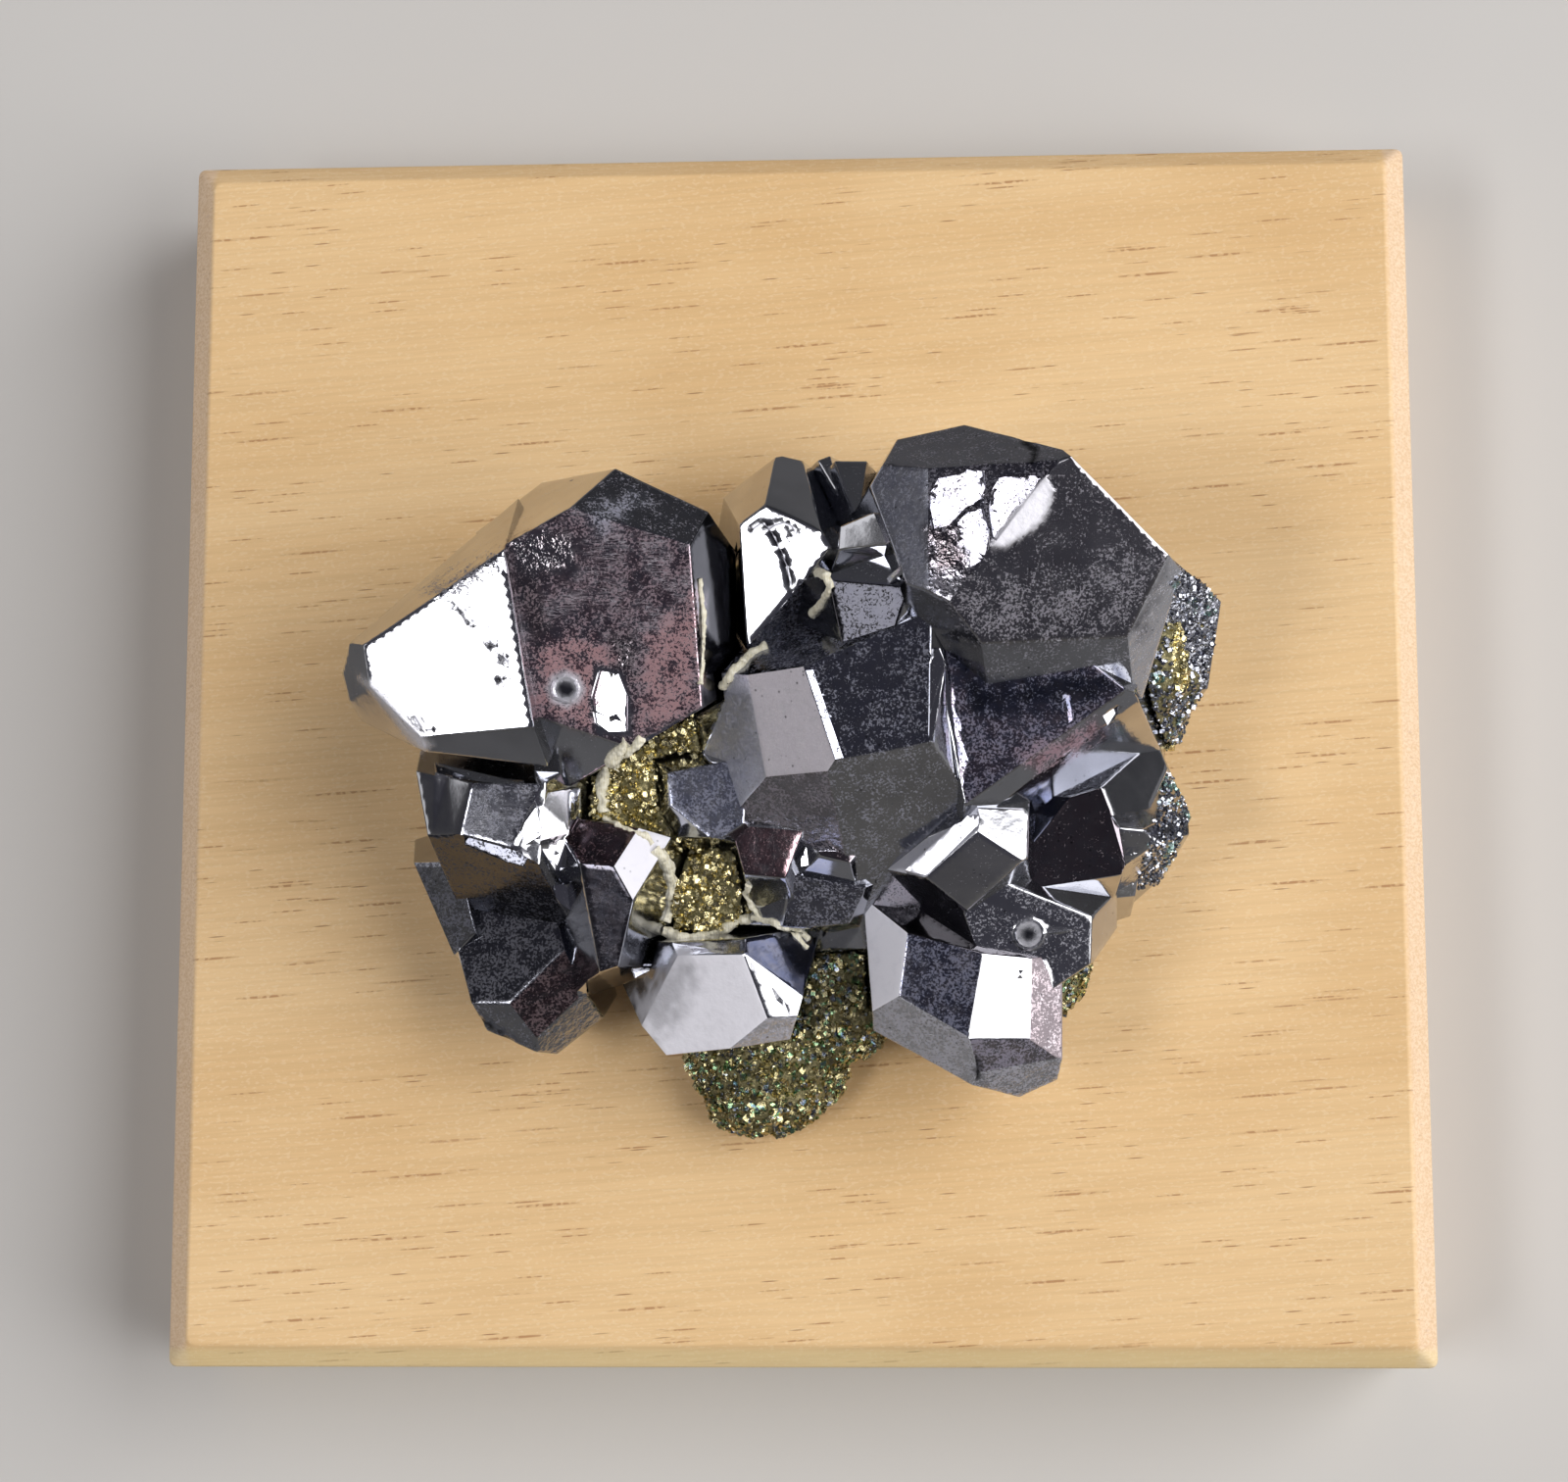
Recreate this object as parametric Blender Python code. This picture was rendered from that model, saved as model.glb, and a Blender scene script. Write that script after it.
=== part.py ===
"""Galena crystals grown on a pyrite matrix, resting on a square wooden display block.

Metres, +Z up. The origin is the middle of the block's underside. +X runs to the right and +Y to the back.
"""

import math

import bmesh
import bpy
from mathutils import Matrix, Vector, noise

MM = 0.001

# The display block, in millimetres.
BLOCK_WIDTH = 100.0
BLOCK_DEPTH = 98.5
BLOCK_HEIGHT = 16.0
BLOCK_CHAMFER = 1.8
BLOCK_CORNER = 0.5

# Neighbouring pieces stand this far apart.
GAP = 0.32
# The lowest point of the specimen above the block.
REST_GAP = 0.32
# The underside of a crystal leans this far from level, in degrees.
FOOT_TILT = 12.0

# The crystals. "at" is a crystal's middle, in millimetres from the middle of the block's top. A face is its compass
# angle (0 looks to +X and 90 to +Y), its tilt from straight up, and its distance from the crystal's middle.
# "back" is how far away the twin of each face lies on the far side of the crystal. "far" and "under" faces have none.
# "foot" is the compass angle that the underside leans to, and its height over the block under the crystal's middle.
# "terrace" names a face with a raised growth step, the step's height, and how far it keeps from the edges.
LEFT_CRYSTALS = {
    "big": {
        "at": (-12.8, 11.7, 14.0),
        "back": 16.0,
        "foot": (300, 5.0),
        "terrace": ("roof", 0.22, 1.6),
        "faces": {
            "roof": (287, 12, 10.2),
            "north_west": (120, 63, 8.0),
            "north_east": (64, 36, 9.6),
            "east": (358, 65, 9.9),
            "south_east": (297, 72, 15.4),
            "south_west": (257, 53, 15.6),
            "far_north": (90, 96, 7.0),
            "under_north_east": (64, 106, 3.4),
            "under_north_west": (144, 109, 8.4),
            "under_east": (1, 104, 8.1),
            "west": (194, 72, 10.2),
            "far_south_east": (301, 101, 12.2),
        },
    },
    "west": {
        "at": (-27.7, 1.9, 14.0),
        "back": 14.0,
        "foot": (210, 6.5),
        "faces": {
            "roof": (213, 13, 9.3),
            "north_west": (128, 63, 7.6),
            "south": (265, 55, 8.8),
            "west": (191, 64, 6.3),
            "south_west": (224, 69, 5.3),
            "step": (9, 86, 9.9),
            "under_west": (200, 109, 3.5),
            "under_south": (262, 114, 1.4),
            "under_north_west": (136, 100, 4.4),
        },
    },
    "stepped": {
        "at": (-22.9, -6.6, 9.0),
        "back": 12.0,
        "foot": (200, 5.0),
        "terrace": ("roof", 0.18, 0.8),
        "faces": {
            "roof": (220, 8, 9.7),
            "south_west": (180, 26, 9.0),
            "south": (252, 61, 7.0),
            "east": (315, 21, 10.7),
            "north": (92, 59, 6.2),
            "west": (192, 92, 4.0),
            "far_east": (348, 67, 8.6),
        },
    },
    "shelf": {
        "at": (-25.9, -13.9, 7.0),
        "back": 8.0,
        "foot": (220, 4.5),
        "faces": {
            "roof": (200, 32, 2.7),
            "north": (104, 63, 4.8),
            "under_west": (205, 94, 1.3),
            "far_east": (14, 83, 1.9),
            "south": (290, 60, 4.1),
        },
    },
    "toe": {
        "at": (-20.8, -21.3, 5.0),
        "back": 6.0,
        "foot": (230, 2.2),
        "terrace": ("roof", 0.18, 1.0),
        "faces": {
            "roof": (162, 15, 6.1),
            "south_east": (301, 30, 5.3),
            "south": (253, 44, 4.6),
            "east": (308, 55, 4.9),
            "under_south": (244, 111, 1.3),
            "west": (198, 100, 2.3),
            "under_east": (308, 103, 4.0),
            "north": (80, 60, 9.3),
        },
    },
    "inner": {
        "at": (-12.8, -12.0, 8.0),
        "back": 11.0,
        "foot": (0, 5.0),
        "faces": {
            "north": (102, 32, 9.0),
            "north_east": (18, 33, 8.9),
            "roof": (229, 20, 9.6),
            "south_east": (341, 34, 9.8),
            "far_north": (78, 95, 3.0),
            "far_east": (340, 74, 4.9),
            "far_south": (286, 88, 7.0),
            "west": (196, 64, 6.2),
        },
    },
}

RIGHT_CRYSTALS = {
    "wedge": {
        "at": (-0.8, 15.4, 11.0),
        "back": 12.0,
        "foot": (100, 5.5),
        "terrace": ("roof", 0.16, 0.9),
        "faces": {
            "roof": (230, 19, 9.7),
            "north_west": (134, 58, 5.3),
            "north_east": (68, 47, 6.5),
            "east": (30, 72, 5.2),
            "south_east": (308, 65, 9.5),
            "west": (186, 78, 4.4),
            "under_north_west": (120, 104, 2.5),
            "under_north": (80, 101, 3.7),
            "south": (268, 77, 11.7),
        },
    },
    "summit": {
        "at": (18.2, 13.5, 16.0),
        "back": 17.0,
        "foot": (45, 6.0),
        "terrace": ("east_roof", 0.25, 1.6),
        "faces": {
            "east_roof": (299, 27, 12.7),
            "west_roof": (191, 14, 13.8),
            "north": (102, 49, 11.2),
            "west": (186, 24, 14.3),
            "south": (283, 54, 13.5),
            "north_east": (45, 83, 5.8),
            "south_east": (324, 62, 13.8),
            "far_north": (102, 84, 8.3),
            "far_north_west": (150, 82, 12.1),
            "far_west": (198, 77, 12.5),
            "notch_side": (64, 92, 3.7),
            "south_west": (235, 63, 13.9),
            "far_east": (346, 95, 11.1),
        },
    },
    "saddle": {
        "at": (7.3, 8.9, 16.0),
        "back": 14.0,
        "foot": (120, 7.0),
        "faces": {
            "roof": (225, 19, 9.0),
            "north": (106, 27, 8.0),
            "east": (319, 42, 8.9),
            "west": (196, 68, 6.5),
            "south": (270, 50, 10.6),
            "far_north": (108, 76, 3.3),
        },
    },
    "saddle_side": {
        "at": (5.7, 13.8, 14.0),
        "back": 7.0,
        "foot": (140, 8.0),
        "faces": {
            "roof": (185, 34, 8.7),
            "west": (176, 80, 2.8),
            "north": (114, 75, 2.1),
            "far_east": (0, 83, 4.0),
            "south": (254, 70, 6.0),
        },
    },
    "middle": {
        "at": (2.3, -0.9, 13.0),
        "back": 15.0,
        "foot": (200, 6.0),
        "terrace": ("roof", 0.2, 0.9),
        "faces": {
            "roof": (277, 7, 11.4),
            "west_roof": (208, 36, 9.0),
            "west": (200, 52, 8.3),
            "south": (280, 44, 10.6),
            "south_west": (240, 52, 8.9),
            "east": (353, 50, 13.9),
            "north": (114, 60, 8.6),
            "north_east": (50, 36, 15.9),
            "far_south_east": (308, 60, 14.2),
            "under_west": (190, 122, 6.2),
        },
    },
    "slab": {
        "at": (21.2, -1.8, 13.0),
        "back": 14.0,
        "foot": (300, 6.5),
        "terrace": ("roof", 0.2, 1.2),
        "faces": {
            "roof": (291, 12, 8.8),
            "south_east": (302, 53, 5.5),
            "far_south_east": (304, 68, 4.0),
            "north_east": (48, 63, 8.3),
            "under_south_east": (306, 112, 5.9),
            "west": (196, 70, 11.3),
            "east": (7, 78, 6.7),
        },
    },
    "diamond": {
        "at": (12.9, -11.9, 14.0),
        "back": 13.0,
        "foot": (250, 7.0),
        "terrace": ("south", 0.15, 0.7),
        "faces": {
            "south": (269, 32, 4.7),
            "north_west": (157, 41, 5.1),
            "north_east": (28, 32, 7.3),
            "south_west": (239, 74, 3.2),
            "south_east": (303, 72, 3.9),
            "far_north_west": (120, 58, 6.0),
            "far_north_east": (70, 56, 7.4),
            "far_east": (0, 80, 6.0),
        },
    },
    "shoulder": {
        "at": (20.0, -15.5, 9.0),
        "back": 12.0,
        "foot": (320, 4.5),
        "terrace": ("roof", 0.18, 1.0),
        "faces": {
            "roof": (293, 19, 6.9),
            "north_east": (57, 48, 5.9),
            "east": (349, 64, 5.5),
            "west": (212, 57, 9.1),
            "south_east": (303, 90, 4.2),
            "under_east": (5, 101, 4.3),
            "under_south_east": (308, 109, 2.3),
        },
    },
    "south": {
        "at": (15.0, -22.8, 9.0),
        "back": 12.0,
        "foot": (290, 3.0),
        "terrace": ("roof", 0.18, 0.8),
        "faces": {
            "west": (180, 46, 9.9),
            "roof": (244, 9, 7.6),
            "east_roof": (325, 20, 6.8),
            "east": (341, 34, 6.9),
            "south_east": (292, 39, 6.3),
            "south_west": (240, 48, 6.4),
            "south": (287, 55, 6.0),
            "under_east": (2, 101, 4.6),
            "under_south_west": (241, 111, 3.0),
            "under_south": (298, 109, 5.3),
            "far_west": (184, 88, 8.7),
            "north": (75, 60, 8.0),
        },
    },
    "east_dark": {
        "at": (22.4, -9.4, 12.0),
        "back": 10.0,
        "foot": (340, 6.0),
        "faces": {
            "roof": (219, 9, 4.8),
            "north_east": (18, 41, 5.5),
            "north": (110, 62, 5.1),
            "south": (275, 70, 4.6),
            "west": (200, 70, 6.8),
            "north_west": (150, 44, 5.3),
            "far_east": (20, 85, 8.0),
            "far_south_east": (337, 87, 3.8),
        },
    },
    "east_rough": {
        "at": (28.2, -7.5, 8.0),
        "back": 6.5,
        "foot": (350, 5.0),
        "faces": {
            "roof": (300, 34, 8.7),
            "north": (74, 59, 3.5),
            "under_east": (356, 101, 1.0),
            "south_east": (304, 79, 3.5),
            "east_roof": (20, 50, 4.9),
            "under_south": (326, 118, 2.7),
            "far_west": (196, 83, 5.0),
        },
    },
    "east_rim": {
        "at": (29.9, 6.7, 10.0),
        "back": 11.0,
        "foot": (10, 6.0),
        "faces": {
            "roof": (355, 44, 6.3),
            "under_east": (356, 102, 2.3),
            "north_east": (50, 82, 4.1),
            "south": (290, 82, 4.8),
            "south_east": (326, 40, 3.4),
        },
    },
    "blue": {
        "at": (-5.8, -5.6, 10.0),
        "back": 6.5,
        "foot": (230, 6.0),
        "faces": {
            "roof": (250, 5, 7.1),
            "west": (186, 62, 5.8),
            "south_west": (232, 58, 6.0),
            "south_east": (300, 60, 6.7),
            "east": (354, 56, 6.4),
            "north": (102, 56, 5.4),
            "far_south": (262, 88, 3.9),
            "far_north": (75, 88, 2.8),
            "under_west": (195, 125, 0.1),
        },
    },
    "cube": {
        "at": (3.4, -10.9, 10.0),
        "back": 6.0,
        "foot": (200, 6.0),
        "faces": {
            "roof": (60, 14, 7.8),
            "west": (194, 50, 5.7),
            "south": (259, 55, 4.7),
            "east": (330, 61, 5.2),
            "north": (85, 60, 4.3),
        },
    },
    "cube_foot": {
        "at": (2.2, -13.0, 8.0),
        "back": 6.0,
        "foot": (250, 5.0),
        "faces": {
            "roof": (262, 29, 7.0),
            "south_west": (201, 44, 6.8),
            "south_east": (320, 69, 5.8),
            "south": (274, 85, 3.4),
            "north": (80, 60, 4.7),
            "far_south": (265, 92, 2.8),
        },
    },
    "inner_chip": {
        "at": (-0.4, -10.4, 9.0),
        "back": 5.5,
        "foot": (240, 6.0),
        "faces": {
            "roof": (190, 21, 7.6),
            "south": (249, 58, 5.8),
            "north": (100, 60, 5.8),
            "east": (332, 60, 5.3),
            "far_west": (195, 85, 3.6),
        },
    },
    "nub": {
        "at": (25.8, -14.2, 7.0),
        "back": 3.5,
        "foot": (340, 5.0),
        "faces": {
            "roof": (330, 40, 2.9),
            "east": (350, 89, 0.5),
            "south": (285, 80, 0.0),
        },
    },
    "jag_west": {
        "at": (3.0, 18.7, 10.0),
        "back": 7.0,
        "foot": (110, 7.0),
        "faces": {
            "roof": (140, 30, 5.1),
            "west": (196, 70, 2.0),
            "north": (106, 88, 1.3),
            "far_east": (20, 75, 2.3),
            "south": (285, 70, 6.1),
        },
    },
    "jag_east": {
        "at": (5.2, 18.9, 11.0),
        "back": 7.0,
        "foot": (80, 7.0),
        "faces": {
            "roof": (60, 35, 5.3),
            "north": (95, 91, 0.2),
            "west": (190, 72, 3.3),
            "far_east": (0, 80, 2.1),
            "south": (270, 75, 6.3),
        },
    },
}

FRONT_CRYSTALS = {
    "front": {
        "at": (-3.6, -21.3, 8.0),
        "back": 11.0,
        "foot": (250, 3.6),
        "faces": {
            "roof": (341, 16, 9.1),
            "south_west": (218, 31, 7.0),
            "north_west": (117, 44, 8.7),
            "north_east": (41, 51, 8.1),
            "south": (283, 57, 6.4),
            "west": (170, 58, 8.1),
            "under_south": (278, 97, 2.7),
            "under_west": (220, 101, 6.0),
            "far_north": (95, 80, 5.8),
            "east": (344, 95, 4.0),
        },
    },
}

# The crystals that touch are grown together in one piece.
GALENA = {
    "galena_left_cluster": LEFT_CRYSTALS,
    "galena_right_cluster": RIGHT_CRYSTALS,
    "galena_front_crystal": FRONT_CRYSTALS,
}

# Where crystals of two pieces meet, the one named first is cut back by the other crystals and leaves the gap.
MEETINGS = {
    "galena_right_cluster": {"galena_left_cluster": ["big"]},
    "galena_front_crystal": {
        "galena_left_cluster": ["stepped", "inner"],
        "galena_right_cluster": ["middle", "cube", "cube_foot", "inner_chip"],
    },
}

# Ring-shaped pits: the crystal and face they lie in, their place over the block, their radius and their depth.
RING_PITS = {
    "galena_left_cluster": ("big", "roof", (-15.8, 1.1), 0.95, 0.2),
    "galena_right_cluster": ("shoulder", "roof", (18.1, -16.6), 1.0, 0.2),
}

# The lumps that make up the matrix: middle and half-sizes, in millimetres from the middle of the block's top, and
# whether the lump shows between the crystals.
MATRIX_LUMPS = [
    ((-1.0, -1.0, 4.5), (25.0, 16.0, 5.5), False),
    ((-10.0, -4.5, 9.5), (6.5, 6.0, 6.2), True),
    ((-6.5, 0.5, 10.5), (5.0, 6.0, 5.6), True),
    ((-5.5, -11.5, 7.5), (5.5, 6.5, 5.2), True),
    ((3.8, -18.0, 4.8), (4.6, 8.0, 4.8), True),
    ((-2.0, -25.0, 2.8), (6.0, 6.0, 4.6), True),
    ((-5.0, 7.0, 5.0), (5.5, 8.0, 5.5), False),
    ((27.0, 4.5, 8.0), (4.5, 6.5, 9.0), True),
    ((14.0, -16.0, 3.4), (10.0, 8.0, 4.6), False),
    ((-17.0, -8.0, 3.4), (10.0, 10.0, 4.6), False),
    ((19.0, 6.0, 4.5), (9.0, 9.0, 6.0), False),
]
# Its surface wanders this far over this distance, and the small knobs on it again.
MATRIX_SWELL = (0.9, 3.4)
MATRIX_KNOBS = (0.55, 1.25)


def remove_everything():
    """Empty the scene."""
    for obj in list(bpy.data.objects):
        bpy.data.objects.remove(obj, do_unlink=True)


def material(name, colour, roughness, metallic):
    """A plain surface of one colour."""
    mat = bpy.data.materials.new(name)
    mat.use_nodes = True
    shader = mat.node_tree.nodes["Principled BSDF"]
    shader.inputs["Base Color"].default_value = (*colour, 1.0)
    shader.inputs["Roughness"].default_value = roughness
    shader.inputs["Metallic"].default_value = metallic
    return mat


def add_object(name, bm, mat=None):
    """An object at the origin made from a bmesh whose points are in millimetres."""
    bmesh.ops.scale(bm, vec=Vector((MM, MM, MM)), verts=bm.verts)
    bmesh.ops.recalc_face_normals(bm, faces=bm.faces)
    mesh = bpy.data.meshes.new(name)
    bm.to_mesh(mesh)
    bm.free()
    if mat:
        mesh.materials.append(mat)
    obj = bpy.data.objects.new(name, mesh)
    bpy.context.collection.objects.link(obj)
    return obj


def boolean(target, tool, operation):
    """Join a helper to the target, or cut the target with it."""
    mod = target.modifiers.new(f"{operation.lower()} {tool.name}", "BOOLEAN")
    mod.operation = operation
    mod.solver = "EXACT"
    mod.object = tool
    tool.hide_render = True
    tool.display_type = "WIRE"


def look(azimuth, tilt):
    """The direction with this compass angle and this tilt from straight up, in degrees."""
    a = math.radians(azimuth)
    t = math.radians(tilt)
    return Vector((math.sin(t) * math.cos(a), math.sin(t) * math.sin(a), math.cos(t)))


def middle_of(spec):
    """A crystal's middle, in millimetres from the middle of the block's underside."""
    x, y, z = spec["at"]
    return Vector((x, y, z + BLOCK_HEIGHT))


def cleave(bm, point, normal):
    """Split off what lies beyond a plane and close the flat face that is left."""
    geometry = bm.verts[:] + bm.edges[:] + bm.faces[:]
    cut = bmesh.ops.bisect_plane(
        bm, geom=geometry, dist=1e-4, plane_co=point, plane_no=normal, clear_outer=True
    )
    rim = [item for item in cut["geom_cut"] if isinstance(item, bmesh.types.BMEdge)]
    if rim:
        bmesh.ops.edgeloop_fill(bm, edges=rim)


def crystal(spec, grow=0.0):
    """One flat-faced crystal as a bmesh in millimetres, with every face moved out by grow."""
    middle = middle_of(spec)
    bm = bmesh.new()
    bmesh.ops.create_cube(bm, size=34.0 + 2.0 * grow, matrix=Matrix.Translation(middle))
    for name, (azimuth, tilt, reach) in spec["faces"].items():
        normal = look(azimuth, tilt)
        cleave(bm, middle + normal * (reach + grow), normal)
        if not name.startswith(("far", "under")):
            twin = look(azimuth + 180.0, 180.0 - tilt)
            cleave(bm, middle + twin * (spec["back"] + grow), twin)
    lean, height = spec["foot"]
    down = look(lean, 180.0 - FOOT_TILT)
    foot = Vector((middle.x, middle.y, BLOCK_HEIGHT + height))
    cleave(bm, foot + down * grow, down)
    return bm


def terrace(spec):
    """The growth step on one of a crystal's faces: the same crystal, a little taller there and drawn in all round."""
    face, rise, margin = spec["terrace"]
    faces = {}
    for index, (name, (azimuth, tilt, reach)) in enumerate(spec["faces"].items()):
        drawn_in = margin * (0.6 + 0.8 * math.fmod(index * 0.618, 1.0))
        faces[name] = (azimuth, tilt, reach + rise if name == face else reach - drawn_in)
    lean, height = spec["foot"]
    return crystal({**spec, "faces": faces, "back": spec["back"] - margin, "foot": (lean, height + margin)})


def ring(spec, face, place, radius, depth):
    """A ring that cuts a round groove into a crystal's face."""
    azimuth, tilt, reach = spec["faces"][face]
    normal = look(azimuth, tilt)
    middle = middle_of(spec)
    x, y = place
    drop = (normal.x * (x - middle.x) + normal.y * (y - middle.y) - reach) / normal.z
    stand = Vector((x, y, middle.z - drop))
    turn = normal.to_track_quat("Z", "Y").to_matrix().to_4x4()
    bm = bmesh.new()
    profile = bmesh.ops.create_circle(bm, radius=depth, segments=6)["verts"]
    upright = Matrix.Translation((radius, 0.0, 0.0)) @ Matrix.Rotation(math.pi / 2.0, 4, "X")
    bmesh.ops.transform(bm, matrix=upright, verts=profile)
    bmesh.ops.spin(
        bm, geom=bm.edges[:], axis=(0.0, 0.0, 1.0), cent=(0.0, 0.0, 0.0), angle=math.tau, steps=14,
        use_merge=True,
    )
    bmesh.ops.remove_doubles(bm, verts=bm.verts, dist=1e-4)
    bmesh.ops.transform(bm, matrix=Matrix.Translation(stand) @ turn, verts=bm.verts)
    return bm


def galena_cluster(name, crystals, mat):
    """All crystals of a cluster, grown together in one solid."""
    first, *others = crystals
    cluster = add_object(name, crystal(crystals[first]), mat)
    for part in others:
        boolean(cluster, add_object(f"{name}_{part}", crystal(crystals[part])), "UNION")
    for part, spec in crystals.items():
        if "terrace" in spec:
            boolean(cluster, add_object(f"{name}_{part}_terrace", terrace(spec)), "UNION")
    for other, parts in MEETINGS.get(name, {}).items():
        for part in parts:
            tool = add_object(f"{name}_meets_{part}", crystal(GALENA[other][part], grow=GAP))
            boolean(cluster, tool, "DIFFERENCE")
    if name in RING_PITS:
        part, face, place, radius, depth = RING_PITS[name]
        tool = add_object(f"{name}_ring_pit", ring(crystals[part], face, place, radius, depth))
        boolean(cluster, tool, "DIFFERENCE")
    return cluster


def display_block(mat):
    """The square block: eased upright corners and a flat chamfer round the top."""
    bm = bmesh.new()
    size = Vector((BLOCK_WIDTH, BLOCK_DEPTH, BLOCK_HEIGHT))
    bmesh.ops.create_cube(bm, size=1.0, matrix=Matrix.Translation((0.0, 0.0, 0.5)))
    bmesh.ops.scale(bm, vec=size, verts=bm.verts)
    top = [e for e in bm.edges if min(v.co.z for v in e.verts) > BLOCK_HEIGHT - 0.01]
    bmesh.ops.bevel(
        bm, geom=top, offset=BLOCK_CHAMFER, segments=1, profile=0.5, affect="EDGES"
    )
    corners = [e for e in bm.edges if abs(e.verts[0].co.z - e.verts[1].co.z) > 0.5]
    bmesh.ops.bevel(
        bm, geom=corners, offset=BLOCK_CORNER, segments=2, profile=0.5, affect="EDGES"
    )
    return add_object("display_block", bm, mat)


def matrix_lump(index, middle, half, shows):
    """One knobbly lump of the matrix, finer where it shows."""
    bm = bmesh.new()
    bmesh.ops.create_icosphere(bm, subdivisions=4 if shows else 3, radius=1.0)
    for vert in bm.verts:
        out = vert.co.normalized()
        place = Vector((out.x * half[0], out.y * half[1], out.z * half[2]))
        own_patch = Vector((index * 7.3, 0.0, 0.0))
        for height, grain in (MATRIX_SWELL, MATRIX_KNOBS):
            place += out * height * noise.noise(place / grain + own_patch)
        vert.co = place + Vector((middle[0], middle[1], middle[2] + BLOCK_HEIGHT))
    return bm


def pyrite_matrix(mat):
    """The matrix that carries the crystals, with a socket round each of them."""
    lumps = [matrix_lump(index, *lump) for index, lump in enumerate(MATRIX_LUMPS)]
    matrix = add_object("pyrite_matrix", lumps[0], mat)
    for index, lump in enumerate(lumps[1:]):
        boolean(matrix, add_object(f"pyrite_lump_{index}", lump), "UNION")
    for cluster, crystals in GALENA.items():
        for part, spec in crystals.items():
            socket = add_object(f"socket_{cluster}_{part}", crystal(spec, grow=GAP))
            boolean(matrix, socket, "DIFFERENCE")
    bm = bmesh.new()
    below = Matrix.Translation((0.0, 0.0, BLOCK_HEIGHT + REST_GAP - BLOCK_WIDTH / 2.0))
    bmesh.ops.create_cube(bm, size=BLOCK_WIDTH, matrix=below)
    boolean(matrix, add_object("below_the_rest", bm), "DIFFERENCE")
    return matrix


def main():
    remove_everything()
    galena = material("galena", (0.36, 0.37, 0.40), 0.16, 1.0)
    pyrite = material("pyrite", (0.45, 0.36, 0.14), 0.35, 1.0)
    wood = material("pale_wood", (0.66, 0.45, 0.24), 0.55, 0.0)
    display_block(wood)
    for name, crystals in GALENA.items():
        galena_cluster(name, crystals, galena)
    pyrite_matrix(pyrite)


main()
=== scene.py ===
import math
from math import radians

import bmesh
import bpy
import numpy as np
from bpy.props import FloatProperty, FloatVectorProperty, IntProperty, PointerProperty
from bpy.types import Operator, Panel, PropertyGroup
from mathutils import Euler, Matrix, Vector, noise
from mathutils.bvhtree import BVHTree


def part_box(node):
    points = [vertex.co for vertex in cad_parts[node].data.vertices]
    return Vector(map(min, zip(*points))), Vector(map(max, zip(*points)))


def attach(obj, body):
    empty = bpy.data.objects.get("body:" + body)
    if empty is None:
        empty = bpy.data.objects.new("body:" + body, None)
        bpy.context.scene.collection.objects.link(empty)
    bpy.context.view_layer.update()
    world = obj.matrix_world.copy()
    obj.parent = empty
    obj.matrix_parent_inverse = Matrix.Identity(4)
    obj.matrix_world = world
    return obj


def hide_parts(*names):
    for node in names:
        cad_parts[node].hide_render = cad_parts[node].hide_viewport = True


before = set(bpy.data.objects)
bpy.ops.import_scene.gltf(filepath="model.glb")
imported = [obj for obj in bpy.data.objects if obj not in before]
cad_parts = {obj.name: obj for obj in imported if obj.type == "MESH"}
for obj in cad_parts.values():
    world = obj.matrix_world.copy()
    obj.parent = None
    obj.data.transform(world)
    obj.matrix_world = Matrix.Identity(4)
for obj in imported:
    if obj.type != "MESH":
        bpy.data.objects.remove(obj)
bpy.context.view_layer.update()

bl_info = {
    "name": "Galena with pyrite",
    "version": (1, 0, 0),
    "blender": (4, 5, 0),
    "location": "View3D > Sidebar > Specimen",
    "description": "Dresses the galena, the pyrite and the display block, and sets their light",
    "category": "Object",
}

MM = 0.001
GALENA_NODES = ("galena_left_cluster", "galena_right_cluster", "galena_front_crystal")
MATRIX_NODE = "pyrite_matrix"
BLOCK_NODE = "display_block"

# The camera, as it stood over the block
PICTURE_WIDTH = 1600
PICTURE_HEIGHT = 1512
FOCAL_PIXELS = 3245.0
SENSOR_WIDTH = 36.0
CAMERA_PLACE = Vector((0.0120, -0.0351, 0.2685))
CAMERA_TURN = Euler((radians(7.96), radians(2.93), radians(-0.08)), "XYZ")

# Where the softboxes stand: turn from +X and tilt from straight up, in degrees
SOFTBOXES = {
    "left": {"turn": 198, "tilt": 31.5, "width": 0.48, "height": 0.24, "power": 2.6},
    "right": {"turn": 4, "tilt": 49, "width": 1.28, "height": 1.12, "power": 1.0},
    "low left": {"turn": 165, "tilt": 78, "width": 1.00, "height": 0.44, "power": 0.26},
}
SOFTBOX_DISTANCE = 1.20


def film(mauve=0.0, blue=0.0, coat=0.0, speckle=0.0, hammer=0.0, scratch=0.0, dark=0.0):
    """How a crystal face is filmed over, each from 0 to 1; dark is painted shade and painted dark reflection,
    which darkens the face toward near black.
    """
    return mauve, blue, coat, speckle, hammer, scratch, dark


# A face with no film of its own in FACE_FILMS is bare
BARE = film(speckle=0.10)
BRIGHT = film(hammer=0.02)
# The dark in these films is painted shade and painted dark reflection
DUSKY = film(mauve=0.1, blue=0.15, speckle=0.35, dark=0.35)
INKY = film(mauve=0.1, blue=0.8, speckle=0.08, dark=0.5)
ROUGH = film(blue=0.15, speckle=0.60, hammer=1.0, dark=0.5)
BIG_ROOF = film(mauve=0.75, blue=0.15, speckle=0.55, scratch=1.0, dark=0.30)
SLAB_ROOF = film(mauve=0.6, blue=0.65, speckle=0.55, scratch=0.1, dark=0.4)
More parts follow.
